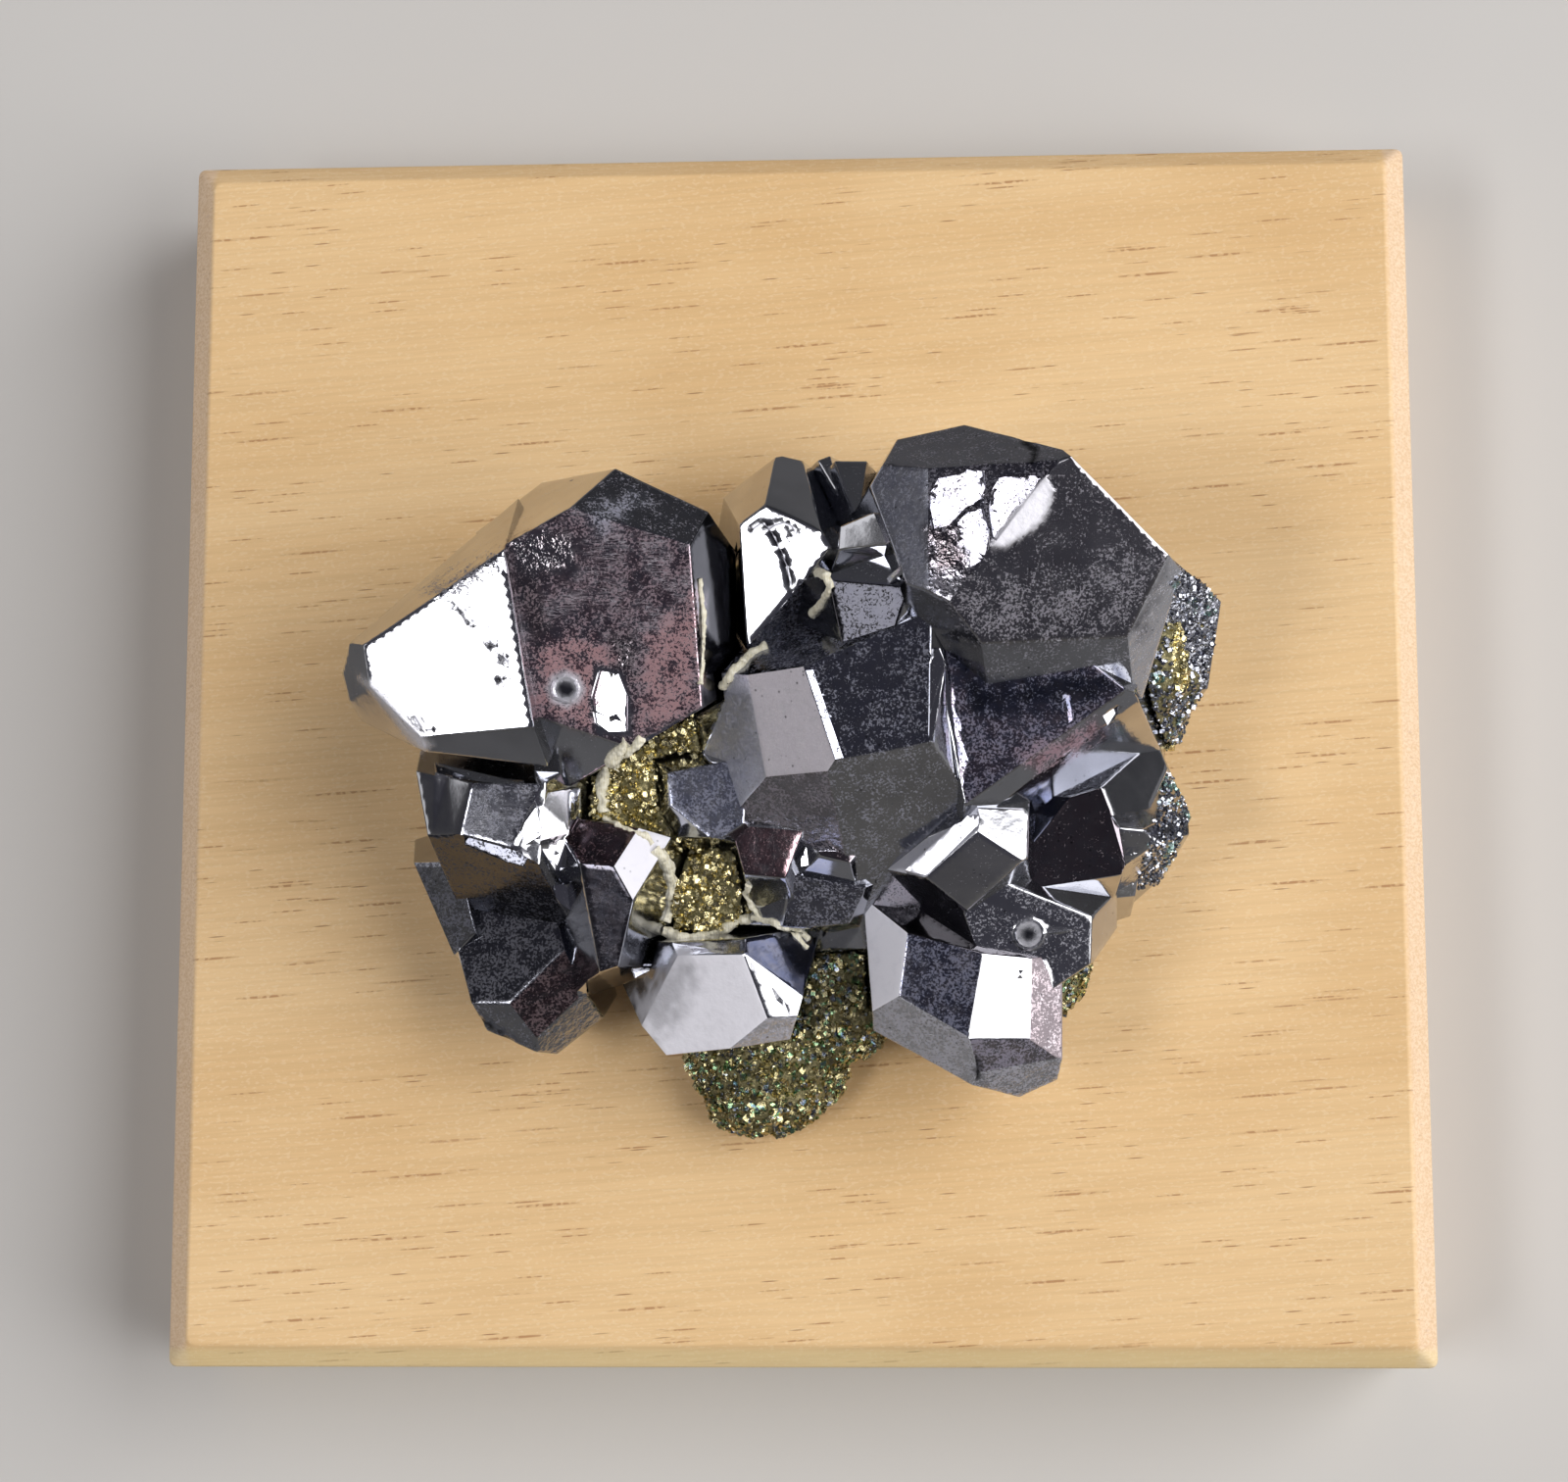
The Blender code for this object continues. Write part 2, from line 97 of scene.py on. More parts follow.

# The filmed faces, each by a spot of the picture that lies on it; their dark values are painted shade and
# painted dark reflection
FACE_FILMS = {
    "west roof": ((455, 675), BRIGHT),
    "west side": ((485, 760), film(speckle=0.05, dark=0.2)),
    "big roof": ((620, 610), BIG_ROOF),
    "big roof foot": ((700, 650), BIG_ROOF),
    "big dark kite": ((665, 515), DUSKY),
    "big east": ((735, 590), film(dark=0.95)),
    "stepped roof": ((500, 825), film(blue=0.2, speckle=0.45, scratch=0.4, dark=0.35)),
    "stepped side": ((440, 815), film(speckle=0.03, dark=0.3)),
    "stepped south": ((500, 880), film(blue=0.4, speckle=0.55, hammer=0.1, dark=0.85)),
    "shelf roof": ((455, 920), film(blue=0.3, speckle=0.60, hammer=0.1, dark=0.6)),
    "toe roof": ((525, 975), film(blue=0.2, speckle=0.60, hammer=0.05, dark=0.75)),
    "toe mauve face": ((565, 1020), film(mauve=0.9, speckle=0.65, hammer=0.3, dark=0.75)),
    "toe front": ((520, 1055), film(blue=0.3, speckle=0.35, dark=0.3)),
    "toe east": ((600, 1030), film(speckle=0.3, hammer=0.5, dark=0.3)),
    "inner red face": ((620, 850), film(mauve=1.0, speckle=0.3, dark=0.65)),
    "inner pale face": ((650, 875), film(blue=0.1, coat=0.85, speckle=0.1)),
    "inner roof": ((640, 930), film(mauve=0.3, blue=0.4, speckle=0.30, scratch=0.4, dark=0.85)),
    "wedge roof": ((805, 560), BRIGHT),
    "wedge lower edge": ((795, 625), ROUGH),
    "wedge back": ((808, 500), film(dark=0.25)),
    "saddle front": ((886, 620), film(blue=0.2, speckle=0.5, hammer=0.1, dark=1.0)),
    "saddle west": ((820, 620), film(speckle=0.10, hammer=0.2, dark=0.6)),
    "summit back": ((960, 455), DUSKY),
    "summit west": ((920, 510), film(blue=0.4, coat=0.12, speckle=0.45, hammer=0.1, dark=0.4)),
    "summit west roof": ((1000, 530), film(blue=0.3, mauve=0.2, speckle=0.45, hammer=0.15, dark=0.6)),
    "summit east roof": ((1110, 560), film(mauve=0.1, speckle=0.25, dark=0.35)),
    "summit front": ((1080, 670), film(speckle=0.40, hammer=0.1, dark=0.2)),
    "summit front edge": ((1175, 640), film(coat=0.2, speckle=0.3, hammer=0.4)),
    "middle back": ((820, 660), film(blue=0.35, speckle=0.55, hammer=0.1, dark=0.3)),
    "middle west": ((755, 750), film(blue=0.35, coat=0.25, speckle=0.6, hammer=0.1)),
    "middle west roof": ((810, 730), film(mauve=0.4, coat=0.45, speckle=0.95, hammer=0.15)),
    "middle roof": ((890, 720), film(blue=0.35, speckle=0.42, dark=0.4)),
    "middle front": ((920, 830), film(blue=0.1, speckle=0.42, hammer=0.1, dark=0.2)),
    "middle foot": ((820, 820), film(mauve=0.2, speckle=0.6, hammer=0.3, dark=0.2)),
    "slab roof": ((1070, 730), SLAB_ROOF),
    "slab roof back": ((1018, 700), SLAB_ROOF),
    "slab far side": ((1140, 750), film(hammer=0.1)),
    # Partly a real coat, partly a painted reflection of the low light
    "diamond white": ((960, 865), film(blue=0.15, coat=0.3, speckle=0.3)),
    "diamond back": ((1020, 835), BRIGHT),
    "diamond foot": ((940, 908), film(hammer=0.6, dark=0.4)),
    "notch": ((1075, 820), film(mauve=0.1, blue=0.9, speckle=0.08, dark=0.75)),
    "east dark roof": ((1110, 860), film(mauve=0.5, speckle=0.15, dark=0.65)),
    "east dark back": ((1160, 800), film(speckle=0.03, dark=0.2)),
    "east rough": ((1180, 850), film(blue=0.3, speckle=0.5, hammer=1.0, dark=0.75)),
    "east rim": ((1215, 620), ROUGH),
    "shoulder west": ((990, 945), film(speckle=0.4)),
    "shoulder back": ((1080, 912), film(speckle=0.04, dark=0.1)),
    # Painted reflection: the pale coat stands in for the low light mirrored in this face
    "south west": ((900, 980), film(blue=0.2, coat=0.9, hammer=0.1)),
    "south roof": ((965, 1000), film(mauve=0.2, blue=0.7, speckle=0.60, scratch=0.3, dark=0.45)),
    "south east roof": ((1030, 1010), BRIGHT),
    "south east": ((1065, 1040), film(mauve=0.7, coat=0.25, speckle=1.0, hammer=0.2, dark=0.3)),
    "south foot": ((940, 1050), film(coat=0.2, speckle=0.8, hammer=0.5)),
    "south front": ((1040, 1105), film(coat=0.1, speckle=0.7, hammer=0.4)),
    "south lower front": ((1040, 1075), film(mauve=0.3, blue=0.3, speckle=0.75, hammer=0.3, dark=0.2)),
    "south back": ((950, 950), film(mauve=0.3, dark=0.7)),
    "front coat": ((720, 1020), film(blue=0.05, coat=1.0, hammer=0.35)),
    "front roof": ((797, 1020), BRIGHT),
    "front left back": ((775, 980), INKY),
    "front foot": ((795, 1055), film(coat=0.25, speckle=0.8, hammer=0.9)),
    "front west": ((665, 1010), film(dark=0.4)),
    "blue crystal": ((725, 815), film(blue=0.7, coat=0.1, speckle=0.6, hammer=0.3, dark=0.3)),
    "cube roof": ((845, 872), film(mauve=0.6, speckle=0.2, dark=0.55)),
    "cube foot": ((850, 920), film(blue=0.2, speckle=0.5, hammer=0.3, dark=0.3)),
    "red chip": ((795, 855), film(mauve=1.0, speckle=0.2, hammer=0.1, dark=0.6)),
}

# Cleaved facets that catch a softbox: the softbox, and the outline read from the picture
CLEAVED_FACETS = {
    "big chip": ("left", [(612, 684), (631, 687), (641, 711), (641, 746), (610, 748), (604, 712)]),
    "stepped chip": ("left", [
        (585, 802), (559, 809), (546, 852), (555, 868), (564, 888), (579, 881), (586, 859),
    ]),
    "stepped nick": ("left", [(561, 906), (577, 900), (575, 932)]),
    "middle edge": ("left", [(820, 684), (830, 683), (862, 776), (848, 780)]),
    "middle ridge": ("left", [(953, 662), (960, 656), (956, 690), (954, 756), (946, 756), (947, 690)]),
    "diamond rim": ("left", [(925, 893), (985, 833), (1000, 830), (1003, 836), (945, 893)]),
    "summit lobe": ("left", [
        (1012, 500), (1020, 488), (1040, 483), (1058, 484), (1070, 496), (1071, 510), (1062, 530),
        (1040, 545),
        (1022, 556), (1011, 548), (1009, 522),
    ]),
    "summit left lobe": ("left", [
        (950, 500), (958, 488), (975, 485), (990, 478), (1005, 482), (1006, 498), (1000, 512),
        (985, 518), (968, 536),
        (951, 540), (948, 518),
    ]),
    "summit low lobe": ("left", [
        (977, 530), (988, 521), (1004, 519), (1009, 540), (1010, 562), (1000, 574), (984, 580), (976, 566),
    ]),
    "stepped top edge": ("left", [(444, 785), (534, 796), (534, 802), (444, 791)]),
    "stepped front edge": ("left", [
        (474, 854), (521, 867), (540, 872), (538, 878), (520, 874), (474, 861),
    ]),
    "stepped shard": ("left", [(548, 822), (553, 850), (536, 862), (528, 846)]),
    "toe glint": ("left", [(586, 1002), (600, 1000), (598, 1012), (588, 1014)]),
    "summit sliver": ("left", [(906, 598), (927, 562), (932, 565), (912, 601)]),
    "cube edge": ("left", [(817, 858), (822, 858), (825, 883), (820, 884)]),
    "slab glint": ("right", [(1126, 731), (1142, 720), (1138, 738), (1130, 744)]),
    "slab streak": ("right", [(1086, 700), (1092, 702), (1095, 735), (1090, 738)]),
}

# Patches whose film differs from the rest of their face: the outline read from the picture, its softness in
# pixels, and the film
# The dark in a patch is painted shade, as in the big corner, the ring hollows and the slab
FILM_PATCHES = {
    "big pink foot": (
        [(535, 658), (600, 648), (640, 664), (640, 740), (600, 745), (548, 722)], 10,
        film(mauve=1.0, speckle=0.85, scratch=0.1),
    ),
    "big pink side": (
        [(655, 650), (690, 622), (712, 604), (714, 722), (690, 736), (655, 748)], 12,
        film(mauve=1.0, speckle=0.85, hammer=0.1, scratch=0.2),
    ),
    # Painted shade in the corner
    "big dark corner": (
        [(518, 560), (545, 556), (560, 640), (548, 660), (528, 620)], 8,
        film(mauve=0.6, speckle=0.5, dark=0.5),
    ),
    "big ring": (
        [(577, 685), (590, 690), (596, 703), (590, 716), (577, 721), (564, 716), (558, 703), (564, 690)], 4,
        film(coat=0.4, speckle=0.9),
    ),
    # Painted shade in the ring's hollow
    "big ring middle": (
        [(577, 694), (585, 698), (587, 704), (582, 711), (573, 711), (568, 704), (570, 697)], 3,
        film(dark=0.6),
    ),
    "shoulder ring": (
        [
            (1050, 937), (1061, 942), (1066, 953), (1061, 964), (1050, 969), (1039, 964), (1034, 953),
            (1039, 942),
        ], 3,
        film(coat=0.3, speckle=0.8, dark=0.2),
    ),
    # Painted shade in the ring's hollow
    "shoulder ring middle": (
        [(1050, 946), (1056, 949), (1057, 956), (1050, 961), (1043, 956), (1044, 949)], 3,
        film(dark=0.7),
    ),
    # Painted highlight: a pale coat stands in for the softbox's glint on the lobe's right part
    "summit lobe painted highlight": (
        [
            (1066, 488), (1073, 500), (1071, 515), (1062, 532), (1045, 545), (1024, 558), (1010, 556),
            (1030, 530),
        ], 3,
        film(coat=1.0, hammer=0.8),
    ),
    "big flakes": (
        [(518, 548), (566, 540), (590, 548), (586, 580), (545, 590), (524, 580)], 8,
        film(mauve=0.3, hammer=1.0, dark=0.3),
    ),
    "big sparkles": (
        [(622, 650), (648, 645), (652, 684), (630, 690)], 9,
        film(mauve=0.4, speckle=0.6, hammer=1.0, dark=0.6),
    ),
    "west blots": (
        [(470, 600), (516, 612), (540, 690), (520, 735), (490, 700)], 18,
        film(speckle=0.42, hammer=0.05),
    ),
    "big chip": ([(608, 680), (634, 684), (644, 711), (644, 750), (608, 752), (602, 712)], 3, BRIGHT),
    "west border": (
        [(430, 600), (505, 562), (515, 575), (450, 620)], 8,
        film(speckle=0.7, hammer=0.5, dark=0.2),
    ),
    "west edge": (
        [(366, 690), (385, 700), (440, 760), (430, 770)], 4,
        film(coat=0.5, speckle=0.7, hammer=0.5),
    ),
    "kite border": (
        [(600, 520), (650, 500), (664, 512), (612, 545)], 9,
        film(blue=0.2, speckle=0.75, hammer=0.6),
    ),
    "summit flakes": (
        [(948, 540), (972, 540), (985, 585), (955, 582)], 8,
        film(mauve=0.5, speckle=0.3, hammer=1.0, dark=0.5),
    ),
    "summit rough foot": (
        [(960, 602), (1090, 585), (1180, 560), (1160, 640), (1000, 655)], 20,
        film(mauve=0.1, speckle=0.62, hammer=0.15, dark=0.35),
    ),
    "slab pink": (
        [(1040, 770), (1120, 735), (1125, 750), (1060, 790)], 10,
        film(mauve=1.0, blue=0.2, speckle=0.9),
    ),
    "slab dark": (
        [(975, 670), (1005, 700), (1140, 692), (1100, 715), (1000, 725)], 14,
        film(blue=0.9, speckle=0.25, dark=0.8),
    ),
    "coat shade": (
        [(640, 1025), (697, 973), (712, 985), (690, 1040), (668, 1058)], 14,
        film(coat=0.8, hammer=0.4, dark=0.35),
    ),
    "east glint": ([(1150, 868), (1175, 872), (1172, 900), (1152, 904)], 5, film(hammer=1.0)),
}

# Painted shade in cracks, seams and pits, each also cut a little into the surface: points read from the
# picture, and half the width in pixels
CRACK_SHADE_STROKES = {
    "west pit": ([(466, 618), (474, 622)], 2.2),
    "west second pit": ([(478, 630), (484, 636)], 2.2),
    "west third pit": ([(514, 670), (519, 677)], 2.0),
    "west fourth pit": ([(511, 692), (518, 697)], 2.4),
    "west foot nick": ([(424, 730), (430, 742), (440, 744)], 2.4),
    "west nick": ([(500, 655), (505, 662)], 1.8),
    "wedge squiggle": ([(768, 541), (776, 533), (785, 538), (797, 560), (803, 580), (808, 600)], 2.6),
    "wedge loop": ([(785, 538), (800, 532), (812, 541), (806, 552)], 2.4),
    "summit notch": ([(1044, 450), (1056, 458), (1054, 472)], 4.0),
    "south seam": ([(997, 1066), (998, 1100)], 2.0),
    "toe cracks": ([(610, 1062), (625, 1045), (640, 1030)], 4.0),
    "toe line": ([(474, 1030), (500, 1047), (530, 1070)], 1.6),
}

# A cleaved facet's narrow wall, the furthest that its corners move, and the cosine of its steepest tilt
FACET_INSET = 0.05 * MM
FACET_REACH = 0.7 * MM
FACET_STEEPEST = 0.5

# Nothing stands further than this before a place that the camera sees
SIGHT_GAP = 0.45 * MM

# Growth steps of the solids: the lowest and the highest, the smallest face that carries one, and the least
# cosine between the two
LOWEST_STEP = 0.05 * MM
HIGHEST_STEP = 0.36 * MM
SMALLEST_BASE = 5 * MM * MM
SAME_WAY = 0.9995

# Turns in which the sides of a mesh are halved at most
MOST_SPLITS = 9

# Which edges wear: the least angle in degrees, the shortest edge and the narrowest face beside it
WORN_ANGLE = 17
SHORTEST_WORN = 0.35 * MM
NARROWEST_WORN = 0.22 * MM

# Angles in degrees up to which the pieces are shaded smooth
SMOOTH = {"block": 30, "galena": 11, "ground": 60, "rims": 70}

# Places of two values in a film: the hammered relief, and the dark of painted shade
HAMMER = 4
DARK = 6

# How deep a dark stroke is cut
STROKE_DEPTH = 0.08 * MM

# Cream carbonate rims: points read from the picture, thickness in millimetres
CREAM_RIMS = {
    "big rim": ([(640, 757), (630, 768), (621, 781), (616, 797), (616, 815), (617, 830)], 1.15),
    "big rim inside": ([(655, 754), (643, 765), (634, 777), (627, 790)], 0.90),
    "ledge rim": ([(616, 834), (630, 842), (645, 848), (660, 853), (668, 864)], 0.60),
    "inner rim": ([(668, 866), (679, 880), (685, 903), (684, 925), (678, 944)], 0.90),
    "inner rim outside": ([(674, 868), (685, 884), (690, 905), (689, 928)], 0.70),
    "bottom rim": ([(677, 949), (694, 957), (717, 955), (737, 949), (754, 939), (768, 936)], 0.95),
    "long rim": ([(768, 936), (782, 940), (798, 944), (815, 950), (829, 962)], 0.70),
    "branch rim": ([(777, 939), (768, 925), (762, 912), (764, 900)], 0.50),
    "side branch": ([(799, 948), (815, 957), (826, 971)], 0.50),
    "wedge rim": ([(831, 584), (843, 588), (848, 598), (840, 614), (826, 630)], 0.80),
    "wedge foot rim": ([(782, 660), (768, 666), (757, 678), (746, 690), (736, 704)], 1.00),
    "big side rim": ([(714, 590), (717, 620), (718, 650), (717, 680), (714, 704)], 0.50),
}


# Grains: shares of cubes, many-sided grains and cut cubes, how deep they stand, and their random seeds
GRAIN_SHARES = (0.62, 0.25, 0.13)
GRAIN_LIFT = 0.12
SEEDS = {
    "places": 11, "sizes": 12, "gold": 13, "toe": 14, "silver": 15,
    "rim places": 21, "rim sizes": 22, "rim": 23,
}

# Square centimetres in a square metre
SQUARE_CENTIMETRES = 1e4

# How far grains stay off the crystals and the block, and the depth in the frame from which the toe begins
CRYSTAL_CLEARANCE = 0.30 * MM
BLOCK_CLEARANCE = 0.7 * MM
TOE_FROM = -16.5 * MM

# Where druse takes the place of gold, read from the picture, and the gold streak through it
DRUSE_OUTLINE = [(1170, 560), (1260, 560), (1260, 760), (1150, 760)]
DRUSE_PATCHES = {
    "rim": [
        (1196, 592), (1206, 581), (1240, 604), (1242, 617), (1237, 668), (1230, 695), (1217, 739),
        (1190, 728),
    ],
    "rough edge": [
        (1190, 790), (1224, 807), (1216, 829), (1199, 873), (1182, 902), (1158, 906), (1172, 860),
    ],
}
GOLD_STREAK = [(1196, 628), (1203, 650), (1205, 698)]
GOLD_STREAK_WIDTH = 7.0

# A rim's line: points for each stretch, how many neighbours on each side level its height, how far it may lie
# under the crystals, and how far over the rest
RIM_POINTS = 4
RIM_NEIGHBOURS = 3
RIM_SINK = 0.5 * MM
RIM_LIFT = 0.06 * MM

# Where the block's end grain and its front chamfer begin and are full, in millimetres from its middle
END_GRAIN = (48.0, 48.6)
FRONT_CHAMFER = (-47.4, -48.2)

FLOOR_HALF_WIDTH = 1.5

# Colours that the settings don't hold
SCRATCH_GREY = (0.34, 0.33, 0.37)
# Painted shade: the near black inside the small pits
PIT_SHADE_BLACK = (0.03, 0.03, 0.035)
# Painted shade: the near black that the dark of a film lays on faces and cracks
PAINTED_SHADE_BLACK = (0.012, 0.012, 0.016)
SPECK_COLOURS = ((0.19, 0.19, 0.23), (0.27, 0.27, 0.32))
MAUVE_SPECK = (0.26, 0.15, 0.16)
BLUE_SPECK = (0.12, 0.14, 0.24)
GREEN_TARNISH = (0.12, 0.42, 0.26)
BLUE_TARNISH = (0.16, 0.26, 0.50)
SILVER = ((0.22, 0.23, 0.27), (0.55, 0.57, 0.62))
SILVER_GREEN = (0.30, 0.52, 0.44)
CREAM_SHADE = (0.66, 0.61, 0.42)
CREAM_BAND = (0.90, 0.89, 0.80)
WOOD_FLECK = (0.90, 0.74, 0.50)
LONG_PORE = (0.42, 0.21, 0.085)
END_WOOD = ((0.84, 0.66, 0.50), (0.70, 0.50, 0.32))
FRONT_WOOD = (0.80, 0.68, 0.36)
LAMP_COLOUR = (1.0, 0.98, 0.97)


def millimetres(value, name, description, low=0.0):
    return FloatProperty(
        name=name, description=description, default=value * MM, min=low, subtype="DISTANCE", unit="LENGTH",
        precision=5,
    )


def colour(value, name, description):
    return FloatVectorProperty(
        name=name, description=description, default=value, min=0.0, max=1.0, size=3, subtype="COLOR",
    )


def share(value, name, description):
    return FloatProperty(
        name=name, description=description, default=value, min=0.0, max=1.0, subtype="FACTOR",
    )


class GalenaSettings(PropertyGroup):
    edge: millimetres(0.11, "Edge", "How far a worn crystal edge is rounded back")
    facet: millimetres(0.60, "Facet", "Longest side of a facet of the refined mesh")
    wave: millimetres(0.035, "Wave", "How far a crystal face bows in and out")
    hammer: millimetres(0.10, "Hammer", "Depth of the hammered lobes")
    lead: colour((0.50, 0.51, 0.55), "Lead grey", "Colour of the clean metal")
    mauve: colour((0.46, 0.30, 0.33), "Mauve", "Colour of the mauve tarnish")
    blue: colour((0.24, 0.28, 0.46), "Blue", "Colour of the blue tarnish")
    coat: colour((0.86, 0.86, 0.93), "Coat", "Colour of the dull grey-lavender coat")
    gloss: share(0.09, "Roughness", "Roughness of a clean face")


class PyriteSettings(PropertyGroup):
    smallest: millimetres(0.22, "Smallest grain", "Width of the smallest grain")
    largest: millimetres(0.52, "Largest grain", "Width of the largest grain")
    seen: IntProperty(
        name="Grains seen", default=900, min=0,
        description="Grains for each square centimetre seen from above",
    )
    hidden: IntProperty(
        name="Grains at the sides", default=170, min=0,
        description="Grains for each square centimetre elsewhere",
    )
    facet: millimetres(0.62, "Facet", "Longest side of a facet of the ground under the grains")
    lump: millimetres(0.16, "Lump", "Height of the small lumps of the ground")
    gold: colour((0.95, 0.84, 0.46), "Brassy gold", "Colour of a clean grain")
    olive: colour((0.15, 0.135, 0.06), "Olive", "Colour of the dark gaps between the grains")


class RimSettings(PropertyGroup):
    lump: millimetres(0.17, "Lump", "Height of the lumps of a rim")
    cream: colour((0.88, 0.85, 0.70), "Cream", "Colour of the carbonate rims")


class BlockSettings(PropertyGroup):
    edge: millimetres(0.18, "Edge", "How far the sanded edges are rounded")
    light: colour((0.82, 0.58, 0.31), "Light wood", "Colour of the lightest wood")
    dark: colour((0.64, 0.39, 0.16), "Dark wood", "Colour of the darkest bands")
    pore: colour((0.30, 0.13, 0.05), "Pore", "Colour inside the pores")
    slant: FloatProperty(
        name="Slant", description="Turn of the grain from the block's front edge", default=radians(4.0),
        subtype="ANGLE", unit="ROTATION",
    )


class StageSettings(PropertyGroup):
    softbox: FloatProperty(name="Softbox", description="Radiance of the right softbox", default=4.3, min=0.0)
    overhead: colour((0.070, 0.068, 0.085), "Overhead", "Light from straight above")
    back: colour((0.080, 0.080, 0.085), "Back", "Light from low down at the back")
    front: colour((0.19, 0.18, 0.165), "Front", "Light from low down at the front")
    floor: colour((0.58, 0.57, 0.55), "Floor", "Colour of the floor")
    mirrored: share(0.16, "Floor in reflections", "How pale the floor is where the crystals mirror it")


class SpecimenSettings(PropertyGroup):
    galena: PointerProperty(type=GalenaSettings)
    pyrite: PointerProperty(type=PyriteSettings)
    rims: PointerProperty(type=RimSettings)
    block: PointerProperty(type=BlockSettings)
    stage: PointerProperty(type=StageSettings)


# The picture and the frame


def picture_ray(spot):
    """The direction in which the camera sees a spot, given as the picture's column and row."""
    across = (spot[0] - PICTURE_WIDTH / 2) / FOCAL_PIXELS
    up = (PICTURE_HEIGHT / 2 - spot[1]) / FOCAL_PIXELS
    return (CAMERA_TURN.to_matrix() @ Vector((across, up, -1.0))).normalized()


def picture_spots(points):
    """The picture's columns and rows at which the camera sees points, an array of n by 3."""
    local = (points - np.array(CAMERA_PLACE)) @ np.array(CAMERA_TURN.to_matrix())
    columns = PICTURE_WIDTH / 2 + FOCAL_PIXELS * local[:, 0] / -local[:, 2]
    rows = PICTURE_HEIGHT / 2 - FOCAL_PIXELS * local[:, 1] / -local[:, 2]
    return np.stack([columns, rows], 1)


def inside_outline(spots, outline):
    """Whether each spot lies inside a closed outline."""
    inside = np.zeros(len(spots), bool)
    for (x0, y0), (x1, y1) in zip(outline, outline[1:] + outline[:1]):
        crosses = (y0 > spots[:, 1]) != (y1 > spots[:, 1])
        if y0 != y1:
            inside ^= crosses & (spots[:, 0] < (x1 - x0) * (spots[:, 1] - y0) / (y1 - y0) + x0)
    return inside


def from_line(spots, points):
    """How far each spot lies from a line through points."""
    far = np.full(len(spots), 1e9)
    for first, second in zip(points, points[1:]):
        start, way = np.array(first, float), np.array(second, float) - np.array(first, float)
        along = np.clip(((spots - start) @ way) / (way @ way), 0, 1)
        far = np.minimum(far, np.linalg.norm(spots - start - along[:, None] * way, axis=1))
    return far


def within_softly(spots, outline, softness):
    """1 well inside a closed outline and 0 well outside, with a soft edge."""
    far = from_line(spots, list(outline) + [outline[0]])
    signed = np.where(inside_outline(spots, outline), far, -far)
    return np.clip(0.5 + signed / (2 * softness), 0, 1)


def in_sight(tree, place):
    """Whether the camera sees a place on the tree's meshes, with nothing in front of it."""
    first = tree.ray_cast(CAMERA_PLACE, (place - CAMERA_PLACE).normalized())[0]
    return first is not None and (first - place).length < SIGHT_GAP


def softbox_way(stand):
    """The direction in which a softbox stands."""
    tilt, turn = radians(stand["tilt"]), radians(stand["turn"])
    return Vector((math.sin(tilt) * math.cos(turn), math.sin(tilt) * math.sin(turn), math.cos(tilt)))


def node_tree(names):
    """A search tree over the merged meshes of some CAD nodes."""
    made = bmesh.new()
    for name in names:
        made.from_mesh(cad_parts[name].data)
    tree = BVHTree.FromBMesh(made)
    made.free()
    return tree


def mend(made, doubles, slivers, flatness):
    """Merges doubled vertices, drops slivers and joins flat neighbours into whole faces."""
    bmesh.ops.remove_doubles(made, verts=made.verts, dist=doubles)
    bmesh.ops.dissolve_degenerate(made, edges=made.edges, dist=slivers)
    bmesh.ops.dissolve_limit(
        made, angle_limit=radians(flatness), verts=made.verts, edges=made.edges, use_dissolve_boundaries=False
    )
    made.normal_update()


def merged_copy(node):
    """The node's mesh as a bmesh of whole flat faces."""
    made = bmesh.new()
    made.from_mesh(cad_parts[node].data)
    mend(made, doubles=2e-6, slivers=0.06 * MM, flatness=0.6)
    return made


def step_under(top):
    """The parallel face that a face stands a low wall above, and how far above: (rise, base) or (0, None)."""
    found = (0.0, None)
    for wall in dict.fromkeys(wall for side in top.edges for wall in side.link_faces):
        for base in dict.fromkeys(base for foot in wall.edges for base in foot.link_faces):
            if base in (top, wall) or base.normal.dot(top.normal) < SAME_WAY:
                continue
            if base.calc_area() < SMALLEST_BASE:
                continue
            rise = (top.verts[0].co - base.verts[0].co).dot(top.normal)
            if LOWEST_STEP < rise < HIGHEST_STEP and rise > found[0]:
                found = (rise, base)
    return found


def lower_steps(made):
    """Lowers the thin growth steps onto the faces that carry them, which the films then show instead."""
    under = {top: step_under(top) for top in made.faces}

    def height(face):
        rise, base = under[face]
        return rise + height(base) if base else 0.0

    moves = {}
    for top in made.faces:
        for corner in top.verts if under[top][1] else ():
            ways = [
                (side.other_vert(corner).co - corner.co).normalized()
                for side in corner.link_edges if top not in side.link_faces
            ]
            way = min(ways + [-top.normal * 0.3], key=lambda option: option.dot(top.normal))
            moves.setdefault(corner, way * (height(top) / -way.dot(top.normal)))
    for corner, move in moves.items():
        corner.co += move
    mend(made, doubles=0.03 * MM, slivers=0.01 * MM, flatness=1.2)


def refine(made, longest):
    """Splits sides until none is longer than a length, or the turns run out."""
    bmesh.ops.triangulate(made, faces=made.faces)
    bmesh.ops.dissolve_degenerate(made, edges=made.edges, dist=0.01 * MM)
    for turn in range(MOST_SPLITS):
        long_sides = [side for side in made.edges if side.calc_length() > longest]
        if not long_sides:
            break
        bmesh.ops.subdivide_edges(made, edges=long_sides, cuts=1)
        bmesh.ops.triangulate(made, faces=[f for f in made.faces if len(f.verts) > 3])
    made.normal_update()


def new_mesh(name, made):
    """Turns a bmesh into a mesh and frees it."""
    mesh = bpy.data.meshes.new(name)
    made.to_mesh(mesh)
    made.free()
    return mesh


